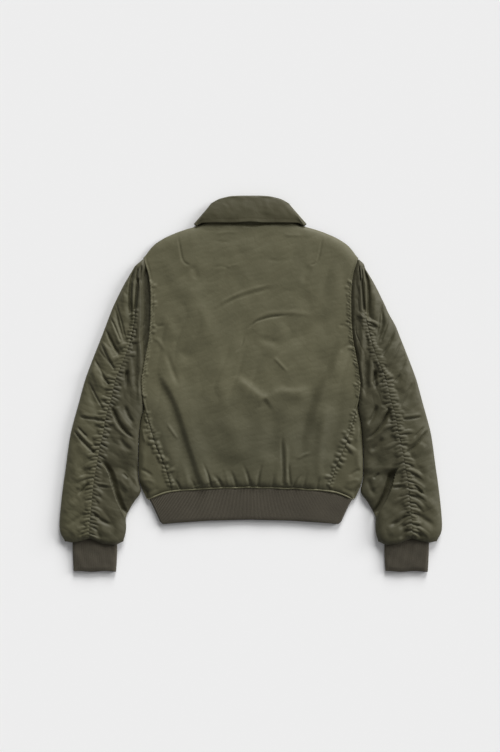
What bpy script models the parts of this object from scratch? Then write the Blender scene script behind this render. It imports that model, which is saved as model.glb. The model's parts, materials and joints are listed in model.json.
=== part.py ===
"""Padded nylon bomber jacket, laid out flat on its front with its back upward.

The tables are in millimetres, seen from above: x runs to the right from the centre line, y runs from
the hem to the collar and z runs up from the surface that the jacket lies on. Sides are mirrored, so
the tables hold distances from the centre line. Everything is built in metres.
"""

import math

import bmesh
import bpy
import numpy as np

MM = 0.001
SEAM_GAP = 0.3
LEFT = -1
RIGHT = 1

# Walls. Shell, wadding and lining are sewn through as one wall.
LOWER_WALL = 4.6
LAYER_GAP = 0.6
CORE = 0.3
BACK_HEIGHT = 12.4
SLEEVE_CROWN = 6.2
EDGE_HEIGHT = 9.8

# Ribbed knit
BAND_TURN = 3.9
CUFF_TURN = 3.7
RIB_CORE = 1.1
RIB_RISE = 0.3

# Collar, one band folded along its top edge
COLLAR_WALL = 2.6
COLLAR_MIDDLE = 6.35
FALL_REACH = 5.05
STAND_REACH = 2.15
COLLAR_LIFT = 2.9

# Zip
ZIP_HALF_OPENING = 8.0
TAPE_HALF = 7.7
CHAIN_HALF = 3.0
SLIDER_LENGTH = 12.0
SLIDER_HALF = 4.6
TAB_LENGTH = 26.0
TAB_HALF = 4.0
TAB_PIN_Y = 238.5
TAB_PIN_Z = 0.95

# Gathers
PUCKER_RISE = 1.0
PUCKER_REACH = 6.0
PUCKER_END = 16.0
PUCKER_FADE = [1.0, 0.8, 0.0]
SEAM_DIP = 1.2


class Table:
    """Rows with named columns, read between rows by straight lines over the first column."""

    def __init__(self, names, rows):
        self.names = names.split()
        self.rows = np.array(sorted(rows), float)

    def __getitem__(self, name):
        return self.rows[:, self.names.index(name)]

    def at(self, name, key):
        return float(np.interp(key, self.rows[:, 0], self[name]))


# One row for each level of the body, from the shoulder to the waist. "bend" is how far the level
# follows the shoulder line, "side" is the armhole edge or the side seam, "fold" is the side fold.
BODY_LEVELS = Table(
    "level y bend side fold turn",
    [
        (0, 250, 1.000, 213.0, 213.0, 5.2),
        (1, 246, 0.975, 211.9, 211.9, 5.2),
        (2, 236, 0.875, 208.6, 208.6, 5.2),
        (3, 220, 0.775, 203.4, 203.4, 5.2),
        (4, 200, 0.725, 200.2, 200.2, 5.2),
        (5, 176, 0.700, 199.0, 199.0, 5.2),
        (6, 152, 0.675, 199.0, 199.0, 5.2),
        (7, 128, 0.650, 199.4, 199.4, 5.2),
        (8, 104, 0.625, 201.2, 201.2, 5.2),
        (9, 80, 0.600, 204.2, 204.2, 5.2),
        (10, 56, 0.575, 209.2, 209.2, 5.2),
        (11, 32, 0.550, 213.4, 213.4, 5.2),
        (12, 8, 0.525, 217.6, 217.6, 5.2),
        (13, -14, 0.490, 216.0, 216.0, 5.2),
        (14, -34, 0.450, 213.6, 213.6, 5.2),
        (15, -52, 0.400, 208.5, 212.4, 3.2),
        (16, -74, 0.375, 202.5, 218.2, 4.6),
        (17, -98, 0.350, 195.3, 220.8, 5.2),
        (18, -122, 0.312, 188.3, 222.2, 5.2),
        (19, -146, 0.275, 177.5, 222.8, 5.2),
        (20, -170, 0.238, 167.2, 222.9, 5.2),
        (21, -194, 0.175, 160.0, 221.2, 5.2),
        (22, -212, 0.000, 154.0, 204.0, 4.6),
    ],
)
UNDERARM = 15
WAIST = 22

SHOULDER_LINE = Table(
    "x back front",
    [
        (0, 329.7, 249.7),
        (9, 329.7, 249.7),
        (24, 329.7, 254.9),
        (40, 329.0, 260.4),
        (48, 328.7, 265.8),
        (68, 326.6, 278.3),
        (72, 326.2, 283.0),
        (90, 321.8, 300.7),
        (97, 316.2, 316.2),
        (111, 312.0, 312.0),
        (127, 308.5, 308.5),
        (143, 304.0, 304.0),
        (165, 295.0, 295.0),
        (171, 292.0, 292.0),
        (190, 280.0, 280.0),
        (201, 268.0, 268.0),
        (213, 250.0, 250.0),
    ],
)

WAIST_LINE = Table(
    "x y under",
    [
        (0, -204.5, -204.5),
        (101, -208, -217.1),
        (154, -212.5, -223.7),
        (171, -215.5, -225.9),
        (190, -223, -228.2),
        (204, -230, -230),
    ],
)
HEM_LINE = Table("x y", [(0, -273), (79, -275), (150, -279.5), (168, -281)])

# One row for each level of the sleeve, from its head to its end. "seam" is the gathered seam on
# top and "inner" the armhole edge, or the inner fold below the underarm.
SLEEVE_LEVELS = Table(
    "level y outer seam inner turn inner_turn gathers",
    [
        (0, 243, 219.5, 214.9, 210.9, 3.2, 3.2, 1),
        (1, 236, 228.0, 219.0, 208.6, 3.8, 3.8, 1),
        (2, 220, 239.0, 225.6, 203.4, 4.6, 4.6, 1),
        (3, 200, 251.0, 228.0, 200.2, 4.9, 4.9, 1),
        (4, 176, 263.0, 228.5, 199.0, 4.9, 4.9, 1),
        (5, 152, 274.5, 229.0, 199.0, 4.9, 4.9, 1),
        (6, 128, 283.5, 229.5, 199.4, 4.9, 4.9, 6),
        (7, 104, 292.5, 233.8, 201.2, 4.9, 4.9, 6),
        (8, 80, 302.0, 239.5, 204.2, 4.9, 4.9, 6),
        (9, 56, 311.5, 248.0, 209.2, 4.9, 4.9, 6),
        (10, 32, 320.8, 258.0, 213.4, 4.9, 4.9, 6),
        (11, 8, 329.5, 268.2, 217.6, 4.9, 4.9, 6),
        (12, -14, 335.5, 273.0, 216.0, 4.9, 4.9, 6),
        (13, -34, 340.8, 277.0, 213.6, 4.9, 4.9, 4),
        (14, -52, 345.8, 283.5, 212.6, 4.9, 2.6, 6),
        (15, -74, 352.0, 288.6, 218.4, 4.9, 4.6, 6),
        (16, -98, 358.2, 291.8, 221.0, 4.9, 4.9, 6),
        (17, -122, 362.0, 298.5, 222.4, 4.9, 4.9, 6),
        (18, -146, 365.2, 302.5, 223.0, 4.9, 4.9, 6),
        (19, -170, 368.3, 306.8, 223.1, 4.9, 4.9, 6),
        (20, -194, 372.0, 311.0, 222.3, 4.9, 4.9, 6),
        (21, -218, 375.0, 313.5, 225.0, 4.9, 4.9, 6),
        (22, -242, 377.8, 315.6, 234.5, 4.9, 4.9, 6),
        (23, -266, 380.0, 318.0, 248.0, 4.9, 4.9, 4),
        (24, -286, 381.0, 320.0, 246.0, 4.9, 4.9, 4),
        (25, -300, 379.0, 320.4, 247.5, 4.9, 4.9, 2),
        (26, -317, 368.0, 320.6, 253.0, 4.9, 4.9, 1),
    ],
)
SLEEVE_UNDERARM = 14
SLEEVE_END = 26

SLEEVE_END_LINE = Table(
    "x y under",
    [
        (253, -315, -315),
        (268, -322.5, -315),
        (292, -320, -315),
        (320, -309, -315),
        (340, -315, -315),
        (355, -317.5, -315),
        (368, -315, -315),
    ],
)

# Troughs are negative, ridges positive. Each runs from one point to the other.
BACK_FOLDS = Table(
    "x1 y1 x2 y2 width rise",
    [
        (-146, 214, -89, 64, 20, -1.7),
        (-178, 18, -103, -182, 20, -1.9),
        (-71, 150, 50, 202, 16, -1.1),
        (-28, -3, 32, -36, 14, -1.3),
        (32, -36, 75, -18, 14, -1.1),
        (165, 64, 104, -78, 20, -1.7),
        (140, 210, 150, 120, 18, -1.2),
        (70, -111, 70, -200, 14, -1.6),
        (-60, 60, -40, -120, 34, 1.6),
        (60, 120, 40, 10, 34, 1.4),
        (150, -60, 128, -190, 24, 1.4),
        (-120, 100, -140, -20, 26, 1.4),
    ],
)

# Distances from the centre line, for both sleeves.
SLEEVE_FOLDS = Table(
    "x1 y1 x2 y2 width rise",
    [
        (351, -92, 308, -138, 12, -1.8),
        (340, -66, 299, -70, 11, -1.5),
        (338, -217, 300, -200, 11, -1.6),
        (349, -270, 322, -256, 11, -1.6),
        (270, -58, 230, -113, 14, -1.7),
        (292, 40, 310, 90, 16, 1.6),
        (338, -224, 372, -252, 14, 1.5),
        (300, -20, 322, -40, 16, 1.4),
        (262, 170, 272, 110, 18, 1.4),
        (262, -140, 236, -175, 20, -1.6),
        (285, -283, 262, -290, 12, -1.4),
    ],
)

# Pleats that rise from the waistband.
WAIST_PLEATS = Table(
    "x rise",
    [
        (-119, -0.9),
        (-99, 0.9),
        (-80, -1.2),
        (-70, 0.8),
        (-52, -1.1),
        (-35, 0.9),
        (-17, -0.7),
        (0, 0.8),
        (17, -1.1),
        (35, 0.7),
        (52, 0.9),
        (70, -1.5),
        (80, 0.9),
        (99, -1.0),
        (119, 0.8),
    ],
)

# The collar seen flat. Each row is a line across the band: its neck edge, its fold and its free
# edge. Rows 0 to 4 go from the centre back to the side, rows 4 to 8 back to the centre front.
COLLAR_BAND = Table(
    "row neck_x neck_y fold_x fold_y free_x free_y",
    [
        (0, 0, 330.0, 0, 373.6, 0, 320.0),
        (1, 24, 330.0, 20, 373.4, 27, 320.2),
        (2, 48, 329.0, 38, 371.6, 54, 320.0),
        (3, 72, 326.5, 53, 367.8, 80, 318.4),
        (4, 94.9, 325.3, 63.5, 363.3, 105, 313.0),
        (5, 89.3, 301.0, 58, 337.0, 106, 288.0),
        (6, 68.3, 279.0, 44, 317.0, 92, 258.0),
        (7, 40.3, 261.0, 28, 302.0, 70, 228.0),
        (8, 9.0, 250.2, 10, 292.0, 16, 262.0),
    ],
)
COLLAR_SIDE = 4
COLLAR_FRONT = 8


def ease(start, end, value):
    """0 before start, 1 past end and a smooth step between."""
    part = min(1.0, max(0.0, (value - start) / (end - start)))
    return part * part * (3 - 2 * part)


def fold_rise(folds, x, y):
    """What the folds of a table add to the height at one point."""
    total = 0.0
    for x1, y1, x2, y2, width, rise in folds.rows:
        run = np.array((x2 - x1, y2 - y1))
        length = float(np.hypot(*run))
        part = float(np.dot((x - x1, y - y1), run)) / length**2
        across = ((x - x1) * run[1] - (y - y1) * run[0]) / length
        beyond = max(0.0, -part, part - 1) * length
        total += rise * math.exp(-((across / width) ** 2) - (beyond / (width * 1.4)) ** 2)
    return total


def near_collar(u, x, last_level, reach):
    """1 where the collar lies under the fronts, 0 a level and a column away from it."""
    return ease(last_level + 1, last_level, u) * ease(reach + 25, reach, abs(x))


def material(name, colour, roughness, metallic=0.0):
    """A Principled material in the colour of its piece."""
    made = bpy.data.materials.new(name)
    made.use_nodes = True
    shader = made.node_tree.nodes["Principled BSDF"]
    shader.inputs["Base Color"].default_value = (*colour, 1.0)
    shader.inputs["Roughness"].default_value = roughness
    shader.inputs["Metallic"].default_value = metallic
    return made


def add_piece(name, mesh_data, colour, roughness, metallic=0.0):
    """One named object with a material of its own, in the jacket's collection."""
    piece = bpy.data.objects.new(name, mesh_data)
    mesh_data.materials.append(material(name, colour, roughness, metallic))
    jacket.objects.link(piece)
    return piece


NYLON = (0.105, 0.098, 0.058)
COLLAR_NYLON = (0.078, 0.074, 0.042)
RIB_KNIT = (0.068, 0.060, 0.042)
ZIP_TAPE = (0.060, 0.056, 0.034)
ZIP_METAL = (0.30, 0.27, 0.20)


class Wall:
    """A closed wall of cloth between an outer and an inner surface.

    outer(u, v) and inner(u, v) give points in millimetres for row u and column v. Rows between two
    whole numbers exist only in the outer columns named in fine, where gathers[u] parts are made of
    each row. The inside is plain, with a column at each number in inner_columns.
    """

    def __init__(self, rows, columns, outer, inner, keep=None, fine=(), gathers=None,
                 inner_columns=None, loop=False):
        self.rows = rows
        self.columns = columns
        self.outer = outer
        self.inner = inner
        self.keep = keep or (lambda row, column: True)
        self.fine = set(fine)
        self.gathers = gathers or [1] * rows
        self.inner_columns = inner_columns or list(range(columns + 1))
        self.loop = loop
        self.mesh = bmesh.new()
        self.made = {}

    def vertex(self, kind, u, v):
        if self.loop and v == self.columns:
            v = 0
        key = (kind, round(u, 4), v)
        if key not in self.made:
            surface = self.outer if kind == "outer" else self.inner
            self.made[key] = self.mesh.verts.new([value * MM for value in surface(u, v)])
        return self.made[key]

    def down(self, row, column):
        """The outer vertices along a column, from one row to the next."""
        parts = self.gathers[row] if column in self.fine else 1
        return [self.vertex("outer", row + part / parts, column) for part in range(parts + 1)]

    def face(self, vertices):
        ring = [v for i, v in enumerate(vertices) if v != vertices[i - 1]]
        if len(ring) > 2:
            self.mesh.faces.new(ring)

    def outer_cell(self, row, column):
        near = self.down(row, column)
        far = self.down(row, column + 1)
        if len(near) == len(far):
            for i in range(len(near) - 1):
                self.face([near[i], near[i + 1], far[i + 1], far[i]])
        else:
            self.face(near + far[::-1])

    def kept(self, row, column):
        if self.loop:
            column %= self.columns
        inside = 0 <= row < self.rows and 0 <= column < self.columns
        return inside and self.keep(row, column)

    def build(self):
        steps = list(zip(self.inner_columns[:-1], self.inner_columns[1:]))
        for row in range(self.rows):
            for column in range(self.columns):
                if self.kept(row, column):
                    self.outer_cell(row, column)
            for near, far in steps:
                if not self.kept(row, near):
                    continue
                corners = [(row, near), (row + 1, near), (row + 1, far), (row, far)]
                self.face([self.vertex("inner", *corner) for corner in corners][::-1])
                for side, beyond in ((near, near - 1), (far, far)):
                    if not self.kept(row, beyond):
                        chain = self.down(row, side)
                        back = [self.vertex("inner", row + 1, side), self.vertex("inner", row, side)]
                        self.face(chain + back)
                for end, beyond in ((row, row - 1), (row + 1, row + 1)):
                    if not self.kept(beyond, near):
                        chain = [self.vertex("outer", end, v) for v in range(near, far + 1)]
                        back = [self.vertex("inner", end, far), self.vertex("inner", end, near)]
                        self.face(chain + back)
        bmesh.ops.recalc_face_normals(self.mesh, faces=self.mesh.faces)
        bmesh.ops.triangulate(self.mesh, faces=self.mesh.faces)
        return self.mesh

    def object(self, name, colour, roughness, metallic=0.0):
        data = bpy.data.meshes.new(name)
        self.build().to_mesh(data)
        self.mesh.free()
        return add_piece(name, data, colour, roughness, metallic)


def pucker(gathers, u):
    """1 on the crest of a gather, -1 between two and 0 past the end of the gathers, for row u."""
    row = min(int(u), len(gathers) - 1)
    if gathers[row] == 1 or (u == row and gathers[max(row - 1, 0)] == 1):
        return 0
    return math.cos(math.pi * (sum(gathers[:row]) + (u - row) * gathers[row]))


def turned(edge, radius, angle, middle, depth):
    """A point on a fold: the outermost x is edge and the fold is a half circle about middle."""
    reach = radius - depth
    return edge - radius + reach * math.cos(angle), middle + reach * math.sin(angle)


# ---------------------------------------------------------------------------------------- body

BACK_COLUMNS = [0.0, 0.113, 0.225, 0.338, 0.455, 0.521, 0.643, 0.775]
BACK_GATHERS = [1] * 4 + [6] * 8 + [1] * 3 + [4] * 7


def body_level(u):
    """The values of the body's table at row u."""
    return {name: BODY_LEVELS.at(name, u) for name in BODY_LEVELS.names}


def body_y(u, x, side, line):
    """Height up the body of the level u at distance x from the centre line."""
    level = body_level(u)
    shoulder = SHOULDER_LINE.at(line, 213 * abs(x) / side)
    y = level["y"] + level["bend"] * (shoulder - 250)
    if u <= WAIST - 1:
        return y
    above = body_level(WAIST - 1)
    start = above["y"] + above["bend"] * (shoulder - 250)
    layer = "y" if line == "back" else "under"
    return start + (u - WAIST + 1) * (WAIST_LINE.at(layer, abs(x)) - start)


def back_place(u, v):
    """x and y of the back panel, with v counted from the centre, negative to the left."""
    level = body_level(u)
    half = level["side"] - (SEAM_GAP / 2 if u > UNDERARM - 0.5 else 0)
    index = abs(v)
    if index < len(BACK_COLUMNS):
        x = half * BACK_COLUMNS[index]
    else:
        x = half - [PUCKER_END, PUCKER_REACH, 0][index - len(BACK_COLUMNS)]
    return math.copysign(x, v), body_y(u, x, half, "back"), half


def back_height(x, y, side, u):
    """Outer height of the back, before its gathers."""
    rise = fold_rise(BACK_FOLDS, x, y)
    low = ease(-150, -212, y)
    height = BACK_HEIGHT + rise - 2.0 * low
    for pleat_x, pleat_rise in WAIST_PLEATS.rows:
        height += pleat_rise * low * math.exp(-(((x - pleat_x) / 8) ** 2))
    height += 1.0 * ease(40, 5, side - abs(x)) * ease(-60, 10, y)
    height = min(height, EDGE_HEIGHT) if y > 300 else height
    shoulder = ease(1.6, 0.0, u)
    return height + shoulder * (8.4 - height) * ease(90, 115, abs(x))


def back_outer(u, v):
    x, y, side = back_place(u, v)
    height = back_height(x, y, side, u)
    beside = len(BACK_COLUMNS) + 2 - abs(v)
    if beside < len(PUCKER_FADE):
        height += 0.8 * PUCKER_RISE * PUCKER_FADE[beside] * pucker(BACK_GATHERS, u)
        height -= 0.6 * SEAM_DIP * (beside == 0) * (u > UNDERARM)
    return x, y, height


def back_inner(u, v):
    x, y, side = back_place(u, v)
    height = back_height(x, y, side, u)
    lift = COLLAR_LIFT / 2 * near_collar(u, x, 7, 137)
    return x, y, LOWER_WALL + LAYER_GAP + lift + 0.4 * max(0.0, height - EDGE_HEIGHT)


def make_back():
    reach = len(BACK_COLUMNS) + 2
    columns = 2 * reach
    shift = reach
    Wall(
        WAIST,
        columns,
        lambda u, v: back_outer(u, v - shift),
        lambda u, v: back_inner(u, v - shift),
        fine=[0, 1, 2, columns - 2, columns - 1, columns],
        gathers=BACK_GATHERS,
    ).object("back_panel", NYLON, 0.55)


FRONT_COLUMNS = [ZIP_HALF_OPENING, 40, 68, 90, 97, 111, 127, 152, 182]
TURN_ANGLES = [-45, 0, 45]
FRONT_GATHERS = [1] * UNDERARM + [4] * 7


def front_station(v):
    """Which part of a front the column v lies on, and its number there."""
    under = len(FRONT_COLUMNS)
    if v <= under:
        return "under", v
    if v <= under + len(TURN_ANGLES):
        return "turn", v - under - 1
    return "top", v - under - len(TURN_ANGLES) - 1


def front_under(u, v):
    """x and y on the front's lower layer."""
    level = body_level(u)
    edge = level["fold"] - (level["turn"] if u > UNDERARM - 0.5 else 0)
    if v == len(FRONT_COLUMNS):
        x = edge
    else:
        x = min(FRONT_COLUMNS[v], edge) if u < 4 and v < 7 else FRONT_COLUMNS[v] * edge / 209
        x = max(x, ZIP_HALF_OPENING) if v else ZIP_HALF_OPENING
    return x, body_y(u, x, 213 * edge / 213, "front"), edge


def front_top(u, v):
    """x, y and height on the strip that comes over the side fold to the side seam."""
    level = body_level(u)
    start = level["fold"] - level["turn"]
    end = level["side"] + SEAM_GAP / 2
    width = start - end
    from_seam = [width, width * 0.66, min(PUCKER_END, width * 0.4),
                 min(PUCKER_REACH, width * 0.2), 0][v]
    x = end + from_seam
    if u <= WAIST - 1:
        y = level["y"]
    else:
        y = -194 + (u - WAIST + 1) * (WAIST_LINE.at("y", x) + 194)
    height = 2 * level["turn"] + 1.2 * ease(0, 20, start - x) * ease(0, 14, width)
    return x, y, height, level


def front_outer(side):
    def point(u, v):
        part, index = front_station(v)
        if part == "under":
            x, y, _ = front_under(u, index)
            return side * x, y, COLLAR_LIFT * near_collar(u, x, 4, 127)
        if part == "turn":
            level = body_level(u)
            x, z = turned(level["fold"], level["turn"], math.radians(TURN_ANGLES[index]),
                          level["turn"], 0)
            return side * x, front_top(u, 0)[1], z
        x, y, height, level = front_top(u, index)
        if index >= 2:
            height += 0.8 * PUCKER_RISE * PUCKER_FADE[4 - index] * pucker(FRONT_GATHERS, u)
            height -= 0.6 * SEAM_DIP * (index == 4) * (u > UNDERARM)
        return side * x, y, height
    return point


def front_inner(side):
    def point(u, v):
        part, index = front_station(v)
        if part == "under":
            x, y, _ = front_under(u, index)
            wall = LOWER_WALL if u <= UNDERARM - 0.5 else body_level(u)["turn"] - CORE
            lift = COLLAR_LIFT / 2 * near_collar(u, x, 4, 127)
            return side * x, y, min(wall, LOWER_WALL) + lift
        if part == "turn":
            level = body_level(u)
            x, z = turned(level["fold"], level["turn"], math.radians(TURN_ANGLES[index]),
                          level["turn"], level["turn"] - CORE)
            return side * x, front_top(u, 0)[1], z
        x, y, height, level = front_top(u, index)
        return side * x, y, level["turn"] + CORE
    return point


def make_front(side, name):
    under = len(FRONT_COLUMNS)
    columns = under + len(TURN_ANGLES) + 5
    Wall(
        WAIST,
        columns,
        front_outer(side),
        front_inner(side),
        keep=lambda row, column: column < under or row >= UNDERARM,
        fine=[columns - 2, columns - 1, columns],
        gathers=FRONT_GATHERS,
    ).object(name, NYLON, 0.55)


# ------------------------------------------------------------------------------------- sleeves

SLEEVE_GATHERS = [int(parts) for parts in SLEEVE_LEVELS["gathers"][:-1]]


def sleeve_level(u):
    level = {name: SLEEVE_LEVELS.at(name, u) for name in SLEEVE_LEVELS.names}
    level["inner"] += SEAM_GAP + 0.05
    level["under_seam"] = level["inner"] + 0.32 * (level["outer"] - level["inner"])
    return level


def sleeve_y(u, x, layer="y"):
    """y of the sleeve's level u. The last level follows the sleeve's uneven end."""
    if u <= SLEEVE_END - 1:
        return SLEEVE_LEVELS.at("y", u)
    start = SLEEVE_LEVELS.at("y", SLEEVE_END - 1)
    return start + (u - SLEEVE_END + 1) * (SLEEVE_END_LINE.at(layer, x) - start)


def sleeve_height(level, x, y):
    """Outer height of the top layer, before its gathers."""
    from_outer = max(0.0, level["outer"] - level["turn"] - x)
    from_inner = max(0.0, x - level["inner"])
    crown = SLEEVE_CROWN * (1 - math.exp(-from_outer / 13)) * (1 - math.exp(-from_inner / 13))
    height = 2 * level["turn"] + crown
    height += fold_rise(SLEEVE_FOLDS, x, y) * (1 - math.exp(-from_outer / 10))
    height -= SEAM_DIP * math.exp(-(((x - level["seam"]) / 7) ** 2))
    elbow = np.interp(y, [-264, -234, -203, -176, -160], [250, 264, 274, 280, 292])
    hollow = ease(-150, -178, y) * ease(-268, -250, y)
    height -= 3.4 * hollow * ease(elbow + 5, elbow - 7, x)
    recess = ease(8, 40, y) * ease(13, 5, from_inner)
    height += recess * (7.4 - height)
    return max(height, 7.4) if level["turn"] > 4 else height


def sleeve_top_x(level, u, index, panel):
    """Distance from the centre line of a column on the top layer, counted from the seam."""
    if panel == "outer":
        start = level["seam"] + SEAM_GAP / 2
        end = level["outer"] - level["turn"]
        width = end - start
        away = [0, min(PUCKER_REACH, 0.2 * width), min(PUCKER_END, 0.4 * width),
                0.58 * width, 0.8 * width, width][index]
        return start + away
    start = level["seam"] - SEAM_GAP / 2
    below = ease(40, -10, level["y"])
    end = level["inner"] + (level["inner_turn"] if u > SLEEVE_UNDERARM - 0.5 else 0)
    width = start - end
    third = (1 - below) * max(width - 13, 0.56 * width) + below * 0.52 * width
    fourth = (1 - below) * max(width - 6.5, 0.78 * width) + below * 0.78 * width
    away = [0, min(PUCKER_REACH, 0.2 * width), min(PUCKER_END, 0.4 * width),
            third, fourth, width][index]
    return start - away


def sleeve_column(v):
    if v <= 5:
        return "top", v
    if v <= 5 + len(TURN_ANGLES):
        return "turn", v - 6
    return "under", v - 6 - len(TURN_ANGLES)


def sleeve_point(side, panel, surface):
    def point(u, v):
        level = sleeve_level(u)
        part, index = sleeve_column(v)
        turn = level["turn"] if panel == "outer" else level["inner_turn"]
        depth = 0 if surface == "outer" else turn - CORE
        if part == "top":
            x = sleeve_top_x(level, u, index, panel)
            y = sleeve_y(u, x)
            height = sleeve_height(level, x, y)
            if surface == "inner":
                height = level["turn"] + CORE + 0.4 * max(0.0, height - EDGE_HEIGHT)
                if u > SLEEVE_UNDERARM - 0.5 and index == 5:
                    height = turn + CORE
            elif index <= 2:
                height += PUCKER_RISE * PUCKER_FADE[index] * pucker(SLEEVE_GATHERS, u)
            elif index == 5 and (panel == "outer" or u > SLEEVE_UNDERARM - 0.5):
                height = 2 * turn
            return side * x, y, height
        if part == "turn":
            angle = math.radians(TURN_ANGLES[-1 - index])
            if panel == "outer":
                x, z = turned(level["outer"], turn, angle, turn, depth)
                y = sleeve_y(u, x, "under")
            else:
                x, z = turned(-level["inner"], turn, angle, turn, depth)
                x = -x
                y = sleeve_y(u, x, "under")
            return side * x, y, z
        if panel == "outer":
            start = level["outer"] - turn
            end = level["under_seam"] + SEAM_GAP / 2
        else:
            start = level["inner"] + (turn if u > SLEEVE_UNDERARM - 0.5 else 0)
            end = level["under_seam"] - SEAM_GAP / 2
        x = start + (end - start) * index / 2
        return side * x, sleeve_y(u, x, "under"), 0 if surface == "outer" else turn - CORE
    return point


def make_sleeve(side, word):
    columns = 6 + len(TURN_ANGLES) + 2
    for panel in ("outer", "inner"):
        round_the_arm = panel == "outer"
        Wall(
            SLEEVE_END,
            columns,
            sleeve_point(side, panel, "outer"),
            sleeve_point(side, panel, "inner"),
            keep=lambda row, column, whole=round_the_arm: (
                whole or row >= SLEEVE_UNDERARM or not 5 <= column <= 5 + len(TURN_ANGLES)
            ),
            fine=[0, 1, 2],
            gathers=SLEEVE_GATHERS,
        ).object(f"sleeve_{panel}_{word}", NYLON, 0.55)


# -------------------------------------------------------------------------------------- ribs


def make_cuff(side, name):
    """A flattened tube of ribbed knit, with ribs on the side that shows."""
    levels = Table(
        "row y inner outer",
        [
            (0, 0, 265.5, 355.0),
            (1, -336, 265.0, 354.5),
            (2, -358, 266.0, 353.6),
            (3, -375.2, 267.4, 352.4),
        ],
    )
    ribs = 21
    top = 2 * ribs
    turn = len(TURN_ANGLES)
    under = 3
    columns = top + turn + 1 + under + turn + 1

    def point(surface):
        def place(u, v):
            inner = levels.at("inner", u)
            outer = levels.at("outer", u)
            depth = 0 if surface == "outer" else CUFF_TURN - RIB_CORE
            start = inner + CUFF_TURN
            end = outer - CUFF_TURN
            low = top + turn <= v <= top + turn + under + 2
            if v <= top:
                x = start + (end - start) * v / top
                z = 2 * CUFF_TURN - depth
                if surface == "outer" and 0 < v < top:
                    z += RIB_RISE * (1 if v % 2 else -1)
            elif v <= top + turn:
                angle = math.radians(TURN_ANGLES[-(v - top)])
                x, z = turned(outer, CUFF_TURN, angle, CUFF_TURN, depth)
            elif v <= top + turn + 1 + under:
                x = end + (start - end) * (v - top - turn - 1) / under
                z = depth
            else:
                angle = math.radians(TURN_ANGLES[v - top - turn - under - 2])
                x, z = turned(-inner, CUFF_TURN, angle, CUFF_TURN, depth)
                x = -x
            y = levels.at("y", u)
            if u < 1:
                layer = "under" if low else "y"
                first = SLEEVE_END_LINE.at(layer, x) - SEAM_GAP
                y = first + u * (levels.at("y", 1) - first)
            if u > 2:
                y += (u - 2) * 1.2 * math.sin(x / 9.0)
            return side * x, y, z
        return place

    steps = list(range(0, top, 7)) + list(range(top, columns + 1))
    Wall(3, columns, point("outer"), point("inner"), inner_columns=steps,
         loop=True).object(name, RIB_KNIT, 0.9)


def make_waistband():
    """A ribbed band folded round both sides and open at the zip."""
    folds = Table(
        "row part fold",
        [(0, 0.0, 203.6), (1, 0.34, 191.5), (2, 0.68, 182.0), (3, 0.93, 175.0), (4, 1.0, 169.0)],
    )
    ribs = 90
    top = 2 * ribs
    turn = len(TURN_ANGLES)
    under = 4
    half = under + turn + 1
    columns = half + top + half

    def point(surface):
        def place(u, v):
            fold = folds.at("fold", u)
            depth = 0 if surface == "outer" else BAND_TURN - RIB_CORE
            edge = fold - BAND_TURN
            side = -1 if v <= columns / 2 else 1
            count = v if side < 0 else columns - v
            if count <= under:
                x = ZIP_HALF_OPENING + (edge - ZIP_HALF_OPENING) * count / under
                z = depth
            elif count <= under + turn:
                angle = math.radians(TURN_ANGLES[count - under - 1])
                x, z = turned(fold, BAND_TURN, angle, BAND_TURN, depth)
            else:
                x = edge * abs(v - columns / 2) / (top / 2)
                z = 2 * BAND_TURN - depth
                if surface == "outer" and half < v < columns - half:
                    z += RIB_RISE * (1 if (v - half) % 2 else -1)
            part = folds.at("part", u)
            layer = "under" if count <= under + 1 else "y"
            first = WAIST_LINE.at(layer, x * 204 / fold) - SEAM_GAP
            last = HEM_LINE.at("y", x * 169 / fold)
            return side * x, first + part * (last - first), z
        return place

    steps = list(range(half)) + list(range(half, columns - half, 9))
    steps += list(range(columns - half, columns + 1))
    Wall(4, columns, point("outer"), point("inner"),
         inner_columns=steps).object("waistband", RIB_KNIT, 0.9)


# ------------------------------------------------------------------------------------- collar


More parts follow.
